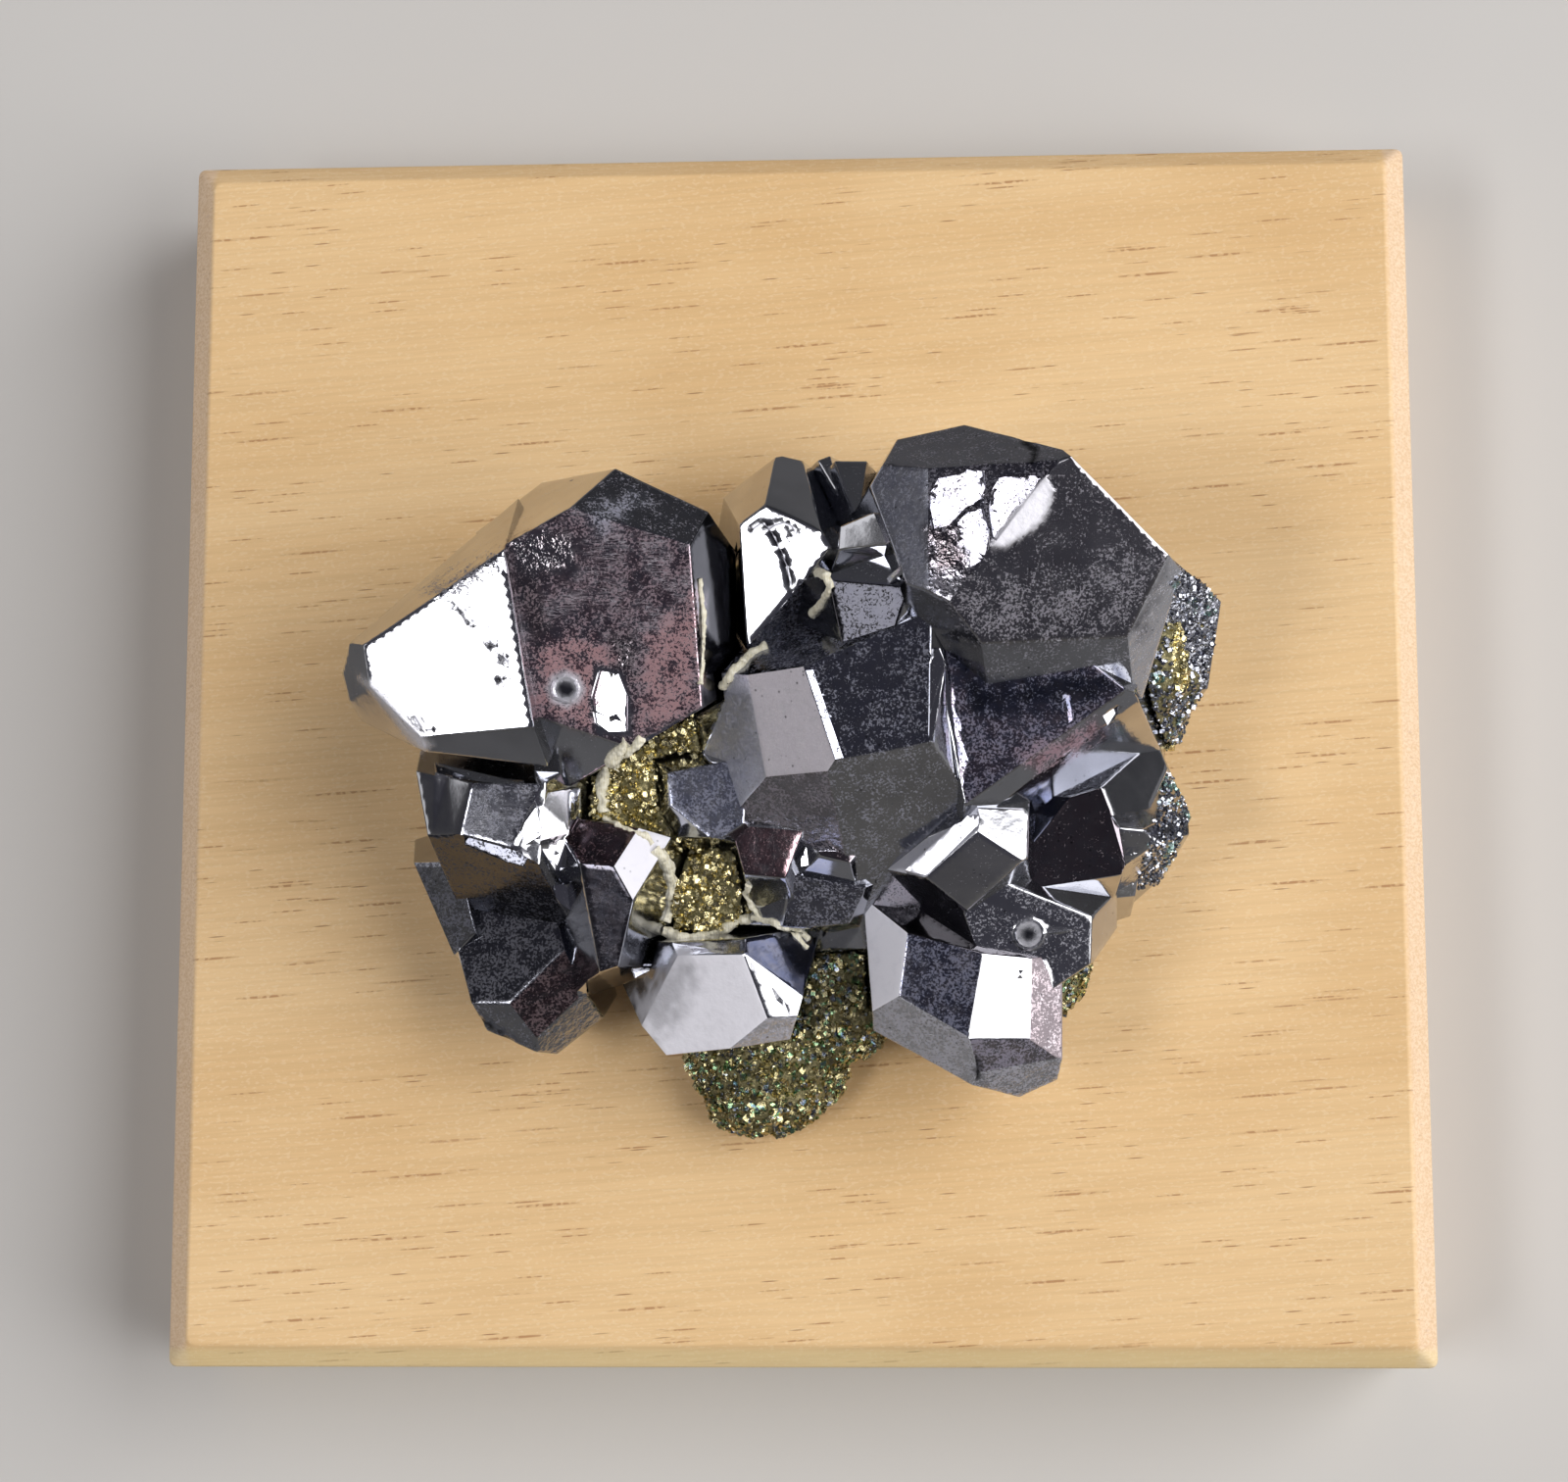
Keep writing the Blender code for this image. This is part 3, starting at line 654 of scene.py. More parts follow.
def new_object(name, data):
    """Puts a mesh, a lamp or a camera into the scene."""
    obj = bpy.data.objects.new(name, data)
    bpy.context.scene.collection.objects.link(obj)
    return obj


def piece(name, made, material, slot, node=None):
    """Adds a bmesh as a piece of the specimen that rides on the root body."""
    obj = new_object(name, new_mesh(name, made))
    obj.data.materials.clear()
    obj.data.materials.append(material)
    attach(obj, "root")
    if node:
        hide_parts(node)
    return obj


def smooth_to(obj, angle):
    """Shades a piece smooth but for edges sharper than an angle in degrees."""
    obj.data.shade_smooth()
    obj.data.set_sharp_from_angle(angle=radians(angle))


def corner_attribute(mesh, name, values):
    """Keeps four values from 0 to 1 for each corner of each face."""
    layer = mesh.attributes.new(name, "FLOAT_COLOR", "CORNER")
    layer.data.foreach_set("color", values.astype(np.float32).ravel())


# Shader helpers


def fill(tree, made, inputs):
    """Links or sets a node's inputs, named with _ for a space, or by number as i0, i1 and so on."""
    for key, value in inputs.items():
        socket = made.inputs[int(key[1:])] if key[1:].isdigit() else made.inputs[key.replace("_", " ")]
        if isinstance(value, bpy.types.NodeSocket):
            tree.links.new(value, socket)
        else:
            socket.default_value = value


def shader_node(tree, kind, settings=None, **inputs):
    """A node of a kind, with its settings and its inputs filled in."""
    made = tree.nodes.new(kind)
    for key, value in (settings or {}).items():
        setattr(made, key, value)
    fill(tree, made, inputs)
    return made


def calc(tree, operation, first, second=0.0, third=0.0):
    made = shader_node(tree, "ShaderNodeMath", {"operation": operation}, i0=first, i1=second, i2=third)
    return made.outputs[0]


def times(tree, first, second):
    return calc(tree, "MULTIPLY", first, second)


def blend(tree, factor, first, second):
    """Mixes two colours by a factor."""
    made = shader_node(
        tree, "ShaderNodeMix", {"data_type": "RGBA", "clamp_factor": True}, i0=factor, i6=first, i7=second,
    )
    return made.outputs[2]


def layered(tree, tint, layers):
    """Lays colours over a colour, each with its mask and its strength."""
    for mask, strength, over in layers:
        tint = blend(tree, times(tree, mask, strength), tint, four(over))
    return tint


def between(tree, value, low, high, start=0.0, end=1.0, smooth=True):
    """Maps a value from low..high onto start..end and stops there."""
    made = shader_node(
        tree, "ShaderNodeMapRange", {"interpolation_type": "SMOOTHSTEP" if smooth else "LINEAR"},
        i0=value, i1=low, i2=high, i3=start, i4=end,
    )
    return made.outputs[0]


def cloud(tree, vector, scale, detail, roughness=0.5, distortion=0.0):
    made = shader_node(
        tree, "ShaderNodeTexNoise",
        Vector=vector, Scale=scale, Detail=detail, Roughness=roughness, Distortion=distortion,
    )
    return made.outputs[0]


def placed(tree, vector, scale=(1, 1, 1), turn=(0, 0, 0), shift=(0, 0, 0)):
    made = shader_node(tree, "ShaderNodeMapping", Vector=vector, Scale=scale, Rotation=turn, Location=shift)
    return made.outputs[0]


def bumped(tree, height, strength, distance):
    """The normal of a surface that a height raises."""
    return shader_node(tree, "ShaderNodeBump", Strength=strength, Distance=distance, Height=height).outputs[0]


def effect(name, inputs, outputs, build):
    """A node group: inputs and outputs are {name: kind}, and build joins them."""
    tree = bpy.data.node_groups.new(name, "ShaderNodeTree")
    for label, kind in inputs.items():
        tree.interface.new_socket(name=label, in_out="INPUT", socket_type=kind)
    for label, kind in outputs.items():
        tree.interface.new_socket(name=label, in_out="OUTPUT", socket_type=kind)
    entry = tree.nodes.new("NodeGroupInput")
    leave = tree.nodes.new("NodeGroupOutput")
    for label, socket in build(tree, entry.outputs).items():
        tree.links.new(socket, leave.inputs[label])
    return tree


def use(tree, group, **inputs):
    """Puts a node group in and gives its outputs."""
    made = tree.nodes.new("ShaderNodeGroup")
    made.node_tree = group
    fill(tree, made, inputs)
    return made.outputs


def new_material(name):
    """A Principled material: (material, its tree, the shader, Object coordinates in millimetres)."""
    material = bpy.data.materials.new(name)
    material.use_nodes = True
    tree = material.node_tree
    tree.nodes.clear()
    out = tree.nodes.new("ShaderNodeOutputMaterial")
    shader = tree.nodes.new("ShaderNodeBsdfPrincipled")
    tree.links.new(shader.outputs[0], out.inputs[0])
    spot = tree.nodes.new("ShaderNodeTexCoord").outputs["Object"]
    return material, tree, shader, placed(tree, spot, scale=(1 / MM, 1 / MM, 1 / MM))


def painted(tree, name):
    """The four values of a corner attribute."""
    made = shader_node(tree, "ShaderNodeAttribute", {"attribute_name": name})
    parts = shader_node(tree, "ShaderNodeSeparateColor", Color=made.outputs["Color"])
    return *parts.outputs, made.outputs["Alpha"]


def four(rgb, factor=1.0):
    """A colour made darker by a factor, with its alpha."""
    return (*(part * factor for part in rgb), 1.0)


def hair_scratches():
    """Fine crossing scratches: thin lines where stretched clouds pass their middle value."""

    def build(tree, given):
        lines = 0.0
        for turn, scale in ((0.5, 1.3), (2.1, 1.0), (1.2, 1.7), (2.8, 1.5), (0.0, 2.0)):
            stretch = (0.35 * scale, 2.6 * scale, 0.9)
            along = placed(tree, given["Vector"], scale=stretch, turn=(0.2, 0.1, turn))
            wavy = cloud(tree, along, 1.0, 1.0, 0.4, 0.4)
            apart = calc(tree, "ABSOLUTE", calc(tree, "SUBTRACT", wavy, 0.5))
            lines = calc(tree, "MAXIMUM", lines, between(tree, apart, 0.0, 0.016, 1.0, 0.0))
        where = between(tree, cloud(tree, given["Vector"], 0.5, 3.0), 0.38, 0.60)
        return {"Mask": times(tree, times(tree, lines, where), given["Amount"])}

    return effect(
        "hair scratches", {"Vector": "NodeSocketVector", "Amount": "NodeSocketFloat"},
        {"Mask": "NodeSocketFloat"}, build,
    )


def painted_pit_shade():
    """Painted shade of small round pits: near black spots with no hollow of their own."""

    def build(tree, given):
        cells = shader_node(tree, "ShaderNodeTexVoronoi", Vector=given["Vector"], Scale=given["Scale"])
        pit = between(tree, cells.outputs["Distance"], 0.05, 0.30, 1.0, 0.0)
        chance = shader_node(tree, "ShaderNodeSeparateColor", Color=cells.outputs["Color"]).outputs[0]
        return {"Mask": times(tree, pit, between(tree, chance, 0.86, 0.90))}

    return effect(
        "painted pit shade", {"Vector": "NodeSocketVector", "Scale": "NodeSocketFloat"},
        {"Mask": "NodeSocketFloat"}, build,
    )


def galena_film(settings):
    """The tarnish, coat and speckles over the metal."""

    def build(tree, given):
        vector = given["Vector"]
        broad = cloud(tree, vector, 0.22, 2.0, 0.6)
        middling = cloud(tree, vector, 1.1, 4.0, 0.65)
        fine = cloud(tree, vector, 5.0, 4.0, 0.75)
        tint = blend(tree, between(tree, broad, 0.35, 0.65), four(settings.lead), four(settings.lead, 0.86))
        mauve = times(tree, given["Mauve"], between(tree, middling, 0.30, 0.62, 0.45, 1.0))
        blue = times(tree, given["Blue"], between(tree, middling, 0.65, 0.35, 0.45, 1.0))
        tint = blend(tree, mauve, tint, four(settings.mauve))
        tint = blend(tree, blue, tint, four(settings.blue))
        patchy = between(tree, cloud(tree, vector, 0.8, 2.0, 0.6), 0.34, 0.60, -0.05, 0.04)
        start = calc(tree, "MULTIPLY_ADD", given["Speckle"], -0.24, 0.66)
        start = calc(tree, "SUBTRACT", start, patchy)
        grain = between(tree, calc(tree, "SUBTRACT", fine, start), 0.0, 0.09)
        shown = between(tree, given["Speckle"], 0.0, 0.25, 0.0, 1.0, smooth=False)
        speckle = times(tree, grain, shown)
        coat = times(tree, given["Coat"], between(tree, middling, 0.25, 0.55, 0.88, 1.0))
        pale = blend(tree, broad, four(SPECK_COLOURS[0]), four(SPECK_COLOURS[1]))
        pale = blend(tree, given["Mauve"], pale, four(MAUVE_SPECK))
        pale = blend(tree, given["Blue"], pale, four(BLUE_SPECK))
        tint = blend(tree, speckle, tint, pale)
        tint = blend(tree, coat, tint, four(settings.coat))
        dull = calc(tree, "MAXIMUM", times(tree, speckle, 0.85), times(tree, coat, 0.92))
        return {"Color": tint, "Dull": dull}

    kinds = {"Vector": "NodeSocketVector"}
    kinds.update({label: "NodeSocketFloat" for label in ("Mauve", "Blue", "Coat", "Speckle")})
    return effect("galena film", kinds, {"Color": "NodeSocketColor", "Dull": "NodeSocketFloat"}, build)


def galena_material(settings, effects):
    material, tree, shader, vector = new_material("galena lustre")
    mauve, blue, coat, speckle = painted(tree, "film")
    # This attribute holds the hammered relief, the scratches and the dark of painted shade
    hammer, scratched, dark = painted(tree, "relief_and_shade")[:3]
    skin = use(tree, effects["film"], Vector=vector, Mauve=mauve, Blue=blue, Coat=coat, Speckle=speckle)
    scratch = use(tree, effects["scratches"], Vector=vector, Amount=scratched)["Mask"]
    # Painted shade of pits: near black spots on the speckled faces
    pits = use(tree, effects["pits"], Vector=vector, Scale=2.2)["Mask"]
    pits = times(tree, pits, between(tree, speckle, 0.05, 0.15))
    # The dark of the films darkens the colour toward near black: painted shade and painted dark reflection
    tint = layered(tree, skin["Color"], (
        (scratch, 0.8, SCRATCH_GREY),
        (pits, 0.9, PIT_SHADE_BLACK),
        (dark, 0.97, PAINTED_SHADE_BLACK),
    ))
    dull = calc(tree, "MAXIMUM", skin["Dull"], times(tree, scratch, 0.8))
    rough = calc(tree, "MULTIPLY_ADD", cloud(tree, vector, 0.9, 3.0), 0.06, settings.gloss)
    rough = calc(tree, "MULTIPLY_ADD", skin["Dull"], 0.80, rough)
    rough = calc(tree, "MULTIPLY_ADD", scratch, 0.15, rough)
    beaten = times(tree, cloud(tree, vector, 2.0, 3.0, 0.55), hammer)
    height = calc(tree, "MULTIPLY_ADD", beaten, 0.14, times(tree, cloud(tree, vector, 1.1, 2.0), 0.008))
    fill(tree, shader, {
        "Base Color": tint,
        "Metallic": between(tree, dull, 0.0, 0.85, 1.0, 0.0, smooth=False),
        "Roughness": rough,
        "Normal": bumped(tree, height, 1.0, MM),
    })
    return material


def pyrite_material(settings, name, brightness, iridescence):
    material, tree, shader, vector = new_material(name)
    gold = [part * brightness for part in settings.gold]
    fine = cloud(tree, vector, 2.6, 3.0)
    tint = blend(tree, between(tree, fine, 0.35, 0.65), four(gold), four(gold, 0.55))
    shade = between(tree, cloud(tree, vector, 0.30, 4.0), 0.45, 0.62)
    tint = blend(tree, times(tree, shade, 0.55), tint, four(gold, 0.45))
    elsewhere = placed(tree, vector, shift=(7, 3, 1))
    green = between(tree, cloud(tree, vector, 1.7, 2.0), 0.54, 0.62, 0.0, iridescence)
    blue = between(tree, cloud(tree, elsewhere, 1.7, 2.0), 0.56, 0.64, 0.0, iridescence)
    tint = blend(tree, green, tint, four(GREEN_TARNISH))
    fill(tree, shader, {
        "Base Color": blend(tree, blue, tint, four(BLUE_TARNISH)),
        "Metallic": 1.0,
        "Roughness": between(tree, fine, 0.3, 0.7, 0.08, 0.24),
        "Normal": bumped(tree, cloud(tree, vector, 9.0, 2.0), 0.6, 0.05 * MM),
    })
    return material


def ground_material(settings):
    """The dark olive ground between the pyrite grains."""
    material, tree, shader, vector = new_material("pyrite ground")
    fine = cloud(tree, vector, 3.2, 4.0, 0.7)
    fill(tree, shader, {
        "Base Color": blend(
            tree, between(tree, fine, 0.45, 0.68), four(settings.olive), four(settings.gold, 0.5)
        ),
        "Metallic": between(tree, fine, 0.45, 0.65, 0.35, 0.95),
        "Roughness": between(tree, fine, 0.4, 0.7, 0.55, 0.25),
        "Normal": bumped(tree, fine, 0.9, 0.2 * MM),
    })
    return material


def silver_material():
    material, tree, shader, vector = new_material("silver druse")
    where = cloud(tree, vector, 0.55, 3.0)
    varied = between(tree, cloud(tree, vector, 2.0, 3.0), 0.35, 0.65)
    tint = blend(tree, varied, four(SILVER[0]), four(SILVER[1]))
    fill(tree, shader, {
        "Base Color": blend(tree, between(tree, where, 0.56, 0.66, 0.0, 0.6), tint, four(SILVER_GREEN)),
        "Metallic": 1.0,
        "Roughness": between(tree, where, 0.3, 0.7, 0.10, 0.28),
    })
    return material


def cream_material(settings):
    material, tree, shader, vector = new_material("cream carbonate")
    fine = cloud(tree, vector, 3.0, 6.0, 0.65)
    bands = shader_node(
        tree, "ShaderNodeTexWave", Vector=vector, Scale=1.6, Distortion=4.0, Detail=3.0
    ).outputs[0]
    tint = blend(tree, between(tree, fine, 0.3, 0.7), four(settings.cream), four(CREAM_SHADE))
    fill(tree, shader, {
        "Base Color": layered(tree, tint, ((bands, 0.35, CREAM_BAND),)),
        "Roughness": 0.55,
        "Normal": bumped(tree, calc(tree, "MULTIPLY_ADD", bands, 0.15, fine), 0.7, 0.12 * MM),
    })
    return material


def wood_pores():
    """Thin dashed pores that run along X: the masks of long pale ones and of short dark ones."""
    # Each layer: its scale, half the width of a pore, and how much of the wood has none
    layers = {
        "Long": (((0.050, 1.2, 0.5), 0.18, 0.34), ((0.10, 2.2, 0.6), 0.20, 0.36)),
        "Short": (((0.13, 1.8, 0.6), 0.12, 0.44),),
    }

    def build(tree, given):
        sown = cloud(tree, placed(tree, given["Vector"], scale=(0.03, 0.16, 0.05)), 1.0, 2.0)
        masks = {}
        for label, rows in layers.items():
            masks[label] = 0.0
            for scale, width, floor in rows:
                spot = placed(tree, given["Vector"], scale=scale, shift=(3 * width, 1, 2))
                cells = shader_node(tree, "ShaderNodeTexVoronoi", Scale=1.0, Randomness=1.0, Vector=spot)
                dash = between(tree, cells.outputs["Distance"], width * 0.4, width, 1.0, 0.0)
                dash = times(tree, dash, between(tree, sown, floor, floor + 0.10))
                masks[label] = calc(tree, "MAXIMUM", masks[label], dash)
        broken = cloud(tree, placed(tree, given["Vector"], scale=(1.8, 2.0, 1.0)), 1.0, 1.0)
        dotted = calc(tree, "MULTIPLY_ADD", between(tree, broken, 0.40, 0.54), 0.75, 0.25)
        masks["Long"] = times(tree, masks["Long"], dotted)
        return masks

    outputs = {label: "NodeSocketFloat" for label in layers}
    return effect("wood pores", {"Vector": "NodeSocketVector"}, outputs, build)


def wood_material(settings):
    material, tree, shader, vector = new_material("pale wood")
    grain = placed(tree, vector, turn=(0, 0, -settings.slant))

    def stretched(scale, detail, roughness=0.5, along=grain):
        return cloud(tree, placed(tree, along, scale=scale), 1.0, detail, roughness)

    streaks = stretched((0.006, 0.11, 0.16), 3.0, 0.55)
    fibres = stretched((0.10, 3.6, 3.6), 2.0, 0.6)
    patches = stretched((0.04, 0.07, 0.1), 1.0)
    flecks = stretched((2.2, 4.4, 1.8), 1.0)
    end_grain = stretched((0.8, 4.8, 4.8), 2.0, 0.7, along=vector)
    pores = use(tree, wood_pores(), Vector=grain)
    across, deep = shader_node(tree, "ShaderNodeSeparateXYZ", Vector=vector).outputs[:2]
    banded = between(tree, streaks, 0.25, 0.80, 0.0, 0.45)
    tint = layered(tree, blend(tree, banded, four(settings.light), four(settings.dark)), (
        (between(tree, patches, 0.45, 0.70), 0.30, settings.dark),
        (between(tree, fibres, 0.35, 0.68), 0.16, [part * 0.72 for part in settings.dark]),
        (between(tree, flecks, 0.56, 0.66), 0.22, WOOD_FLECK),
        (pores["Long"], 0.85, LONG_PORE),
        (pores["Short"], 0.8, settings.pore),
    ))
    end_tint = blend(tree, between(tree, end_grain, 0.35, 0.65), four(END_WOOD[0]), four(END_WOOD[1]))
    end = between(tree, calc(tree, "ABSOLUTE", across), *END_GRAIN)
    tint = blend(tree, times(tree, end, 0.75), tint, end_tint)
    fill(tree, shader, {
        "Base Color": layered(tree, tint, ((between(tree, deep, *FRONT_CHAMFER), 0.45, FRONT_WOOD),)),
        "Roughness": between(tree, fibres, 0.3, 0.7, 0.42, 0.60),
        "Specular IOR Level": 0.35,
        "Normal": bumped(tree, fibres, 0.8, 0.024 * MM),
    })
    return material


# Galena


def glint_normal(place, box):
    """The way a facet faces when it throws a softbox's light at the camera."""
    return (softbox_way(SOFTBOXES[box]) + (CAMERA_PLACE - place).normalized()).normalized()


def parts_of(made, layer, host):
    """The faces that one face of the solid has been cut into so far."""
    return [face for face in made.faces if face[layer] == host]


def parts_inside(made, layer, host, outline):
    """Those of them whose middles the camera sees inside an outline."""
    faces = parts_of(made, layer, host)
    centres = np.array([face.calc_center_median() for face in faces])
    return [face for face, within in zip(faces, inside_outline(picture_spots(centres), outline)) if within]


def cleave_facets(made, tree, owner):
    """Cuts each facet's outline into the face that carries it and tilts what is inside it."""
    for box, outline in CLEAVED_FACETS.values():
        middle = tuple(np.array(outline, float).mean(0))
        place, normal, host = tree.ray_cast(CAMERA_PLACE, picture_ray(middle))[:3]
        if host is None or not owner(place):
            continue
        layer = made.faces.layers.int["host"]
        for first, second in zip(outline, outline[1:] + outline[:1]):
            faces = parts_of(made, layer, host)
            sides = dict.fromkeys(side for face in faces for side in face.edges)
            corners = dict.fromkeys(corner for face in faces for corner in face.verts)
            across = picture_ray(first).cross(picture_ray(second)).normalized()
            bmesh.ops.bisect_plane(
                made, geom=[*faces, *sides, *corners], dist=1e-7,
                plane_co=CAMERA_PLACE, plane_no=across,
            )
        chosen = parts_inside(made, layer, host, outline)
        if not chosen:
            continue
        bmesh.ops.dissolve_faces(made, faces=chosen, use_verts=False)
        chosen = parts_inside(made, layer, host, outline)
        bmesh.ops.inset_region(made, faces=chosen, thickness=FACET_INSET, depth=0.0, use_even_offset=False)
        facing = glint_normal(place, box)
        for corner in dict.fromkeys(corner for face in chosen for corner in face.verts):
            lift = (corner.co - place).dot(facing) / max(normal.dot(facing), FACET_STEEPEST)
            corner.co -= normal * min(max(lift, -FACET_REACH), FACET_REACH)


def face_films(made, tree, owner):
    """The film of each whole face of a cluster, one row for each face."""
    films = np.tile(np.array(BARE), (len(made.faces), 1))
    for spot, coating in FACE_FILMS.values():
        place, normal, index = tree.ray_cast(CAMERA_PLACE, picture_ray(spot))[:3]
        if index is not None and owner(place):
            films[index] = coating
    return films


def patch_weights(made, owner):
    """How much of each film patch every vertex has, and how much painted shade the crack strokes lay on it.
    """
    places = np.array([corner.co for corner in made.verts])
    spots = picture_spots(places)
    ragged = np.array([noise.noise(Vector(p) / MM * 1.3) for p in places])
    seen = {}

    def weighted(weights):
        for index in np.nonzero(weights > 0)[0]:
            if index not in seen:
                seen[index] = owner(Vector(places[index]))
            if not seen[index]:
                weights[index] = 0
        return weights

    layers = []
    for outline, softness, coating in FILM_PATCHES.values():
        weights = within_softly(spots, outline, softness)
        if softness > 5:
            weights = np.clip(weights + ragged * weights * (1 - weights) * 3, 0, 1)
        layers.append((weighted(weights), np.array(coating)))
    dark = np.zeros(len(places))
    for points, width in CRACK_SHADE_STROKES.values():
        dark = np.maximum(dark, weighted(np.clip(1.6 - from_line(spots, points) / width, 0, 1)))
    return layers, dark


def wears(side):
    """Whether an edge is rounded: it stands out, and neither it nor a face beside it is too small."""
    if not side.is_manifold or not side.is_convex or side.calc_length() <= SHORTEST_WORN:
        return False
    widths = [face.calc_area() / max(edge.calc_length() for edge in face.edges) for face in side.link_faces]
    return side.calc_face_angle(0.0) > radians(WORN_ANGLE) and min(widths) > NARROWEST_WORN


def dress_cluster(node, everything, settings, material):
    """Makes the dressed piece of one node: its steps, facets, worn edges, bowed faces and films."""
    made = merged_copy(node)
    lower_steps(made)
    host = made.faces.layers.int.new("host")
    for index, face in enumerate(made.faces):
        face[host] = index
    tree = BVHTree.FromBMesh(made)

    def owner(place):
        return in_sight(everything, place)

    films = face_films(made, tree, owner)
    cleave_facets(made, tree, owner)
    made.normal_update()
    worn = [side for side in made.edges if wears(side)]
    bmesh.ops.bevel(
        made, geom=worn, offset=settings.edge, offset_type="OFFSET", segments=2, profile=0.5,
        affect="EDGES", clamp_overlap=False, loop_slide=True, material=-1,
    )
    bmesh.ops.remove_doubles(made, verts=made.verts, dist=0.02 * MM)
    refine(made, settings.facet)
    host = made.faces.layers.int["host"]
    made.verts.index_update()
    corners = np.array([corner.index for face in made.faces for corner in face.verts])
    filmed = films[np.array([face[host] for face in made.faces for corner in face.verts])]
    layers, dark = patch_weights(made, owner)
    for weights, coating in layers:
        filmed += (coating - filmed) * weights[corners][:, None]
    # The crack strokes add painted shade along the cracks, seams and pits
    filmed[:, DARK] = np.maximum(filmed[:, DARK], dark[corners])
    hammered = np.bincount(corners, filmed[:, HAMMER]) / np.bincount(corners)
    for corner, beaten, sunk in zip(made.verts, hammered, dark):
        spot = corner.co / MM
        bow = noise.noise(spot * 0.16) + 0.45 * noise.noise(spot * 0.45 + Vector((9, 0, 0)))
        lift = bow * settings.wave
        if beaten > 0.03:
            lobes = noise.voronoi(spot * 0.55)[0]
            lift += (0.5 - min(lobes[0], 0.9)) * settings.hammer * beaten
            lift += noise.noise(spot * 2.1) * 0.35 * settings.hammer * beaten
        lift -= sunk * STROKE_DEPTH
        corner.co += corner.normal * lift
    name = node.replace("_cluster", "").replace("_crystal", "") + "_dressed"
    obj = piece(name, made, material, "galena", node)
    corner_attribute(obj.data, "film", filmed[:, :HAMMER])
    # This attribute keeps the hammered relief, the scratches and the painted shade
    corner_attribute(obj.data, "relief_and_shade", np.pad(filmed[:, HAMMER:], ((0, 0), (0, 1))))
    smooth_to(obj, SMOOTH["galena"])
    return obj


# Pyrite


def grain_shapes():
    """A cube, a many-sided grain and a cube with cut corners, each one unit wide."""
    shapes = []
    for form in ("cube", "many-sided", "cut"):
        made = bmesh.new()
        if form == "many-sided":
            bmesh.ops.create_icosphere(made, subdivisions=1, radius=0.56)
        else:
            bmesh.ops.create_cube(made, size=0.9)
        if form == "cut":
            bmesh.ops.bevel(
                made, geom=made.verts, offset=0.28, offset_type="OFFSET", segments=1, profile=0.5,
                affect="VERTICES", clamp_overlap=True, material=-1,
            )
        shapes.append(new_mesh("grain shape", made))
    return shapes


def scatter(obj, density, seed):
    """Seeded spots on a mesh: (places, normals). The function density gives grains for each square metre."""
    mesh = obj.data
    mesh.calc_loop_triangles()
    count = len(mesh.loop_triangles)
    corners = np.zeros(count * 3, np.int64)
    mesh.loop_triangles.foreach_get("vertices", corners)
    points = np.zeros(len(mesh.vertices) * 3)
    mesh.vertices.foreach_get("co", points)
    triangles = points.reshape(-1, 3)[corners.reshape(-1, 3)]
    across = np.cross(triangles[:, 1] - triangles[:, 0], triangles[:, 2] - triangles[:, 0])
    areas = np.linalg.norm(across, axis=1) / 2
    normals = across / np.maximum(2 * areas, 1e-15)[:, None]
    weights = areas * density(triangles.mean(1), normals)
    rng = np.random.default_rng(seed)
    wanted = int(weights.sum())
    picked = rng.choice(count, wanted, p=weights / weights.sum())
    first, second = rng.random(wanted), rng.random(wanted)
    flip = first + second > 1
    first[flip], second[flip] = 1 - first[flip], 1 - second[flip]
    chosen = triangles[picked]
    places = (
        chosen[:, 0]
        + first[:, None] * (chosen[:, 1] - chosen[:, 0])
        + second[:, None] * (chosen[:, 2] - chosen[:, 0])
    )
    return places, normals[picked]


def grow(name, places, normals, sizes, material, slot, seed):
    """Joins one grain at each place into a piece."""
    rng = np.random.default_rng(seed)
    shapes = grain_shapes()
    made = bmesh.new()
    turns = rng.random((len(places), 3)) * 2 * math.pi
    kinds = rng.choice(len(shapes), len(places), p=GRAIN_SHARES)
    for place, normal, size, turn, kind in zip(places, normals, sizes, turns, kinds):
        shape = shapes[kind]
        middle = Vector(place) + Vector(normal) * size * GRAIN_LIFT
        matrix = Matrix.LocRotScale(middle, Euler(turn), Vector((size, size, size)))
        shape.transform(matrix)
        made.from_mesh(shape)
        shape.transform(matrix.inverted())
    obj = piece(name, made, material, slot)
    for shape in shapes:
        bpy.data.meshes.remove(shape)
    return obj


# The add-on's operators


class SPECIMEN_OT_dress_block(Operator):
    """Round the display block's sanded edges and give it its wood"""

    bl_idname = "specimen.dress_block"
    bl_label = "Dress the block"

    def execute(self, context):
        settings = context.scene.specimen.block
        made = merged_copy(BLOCK_NODE)
        worn = [side for side in made.edges if side.calc_face_angle(0.0) > radians(14)]
        bmesh.ops.bevel(
            made, geom=worn, offset=settings.edge, offset_type="OFFSET", segments=3, profile=0.5,
            affect="EDGES", clamp_overlap=True, material=-1,
        )
        refine(made, 4 * MM)
        obj = piece("block_dressed", made, wood_material(settings), "pale_wood", BLOCK_NODE)
        smooth_to(obj, SMOOTH["block"])
        return {"FINISHED"}


class SPECIMEN_OT_dress_galena(Operator):
    """Wear the crystals' edges, cleave their bright facets and give them their films"""

    bl_idname = "specimen.dress_galena"
    bl_label = "Dress the galena"

    def execute(self, context):
        settings = context.scene.specimen.galena
        effects = {"film": galena_film(settings), "scratches": hair_scratches(), "pits": painted_pit_shade()}
        material = galena_material(settings, effects)
        everything = node_tree(GALENA_NODES + (MATRIX_NODE, BLOCK_NODE))
        for node in GALENA_NODES:
            dress_cluster(node, everything, settings, material)
        return {"FINISHED"}


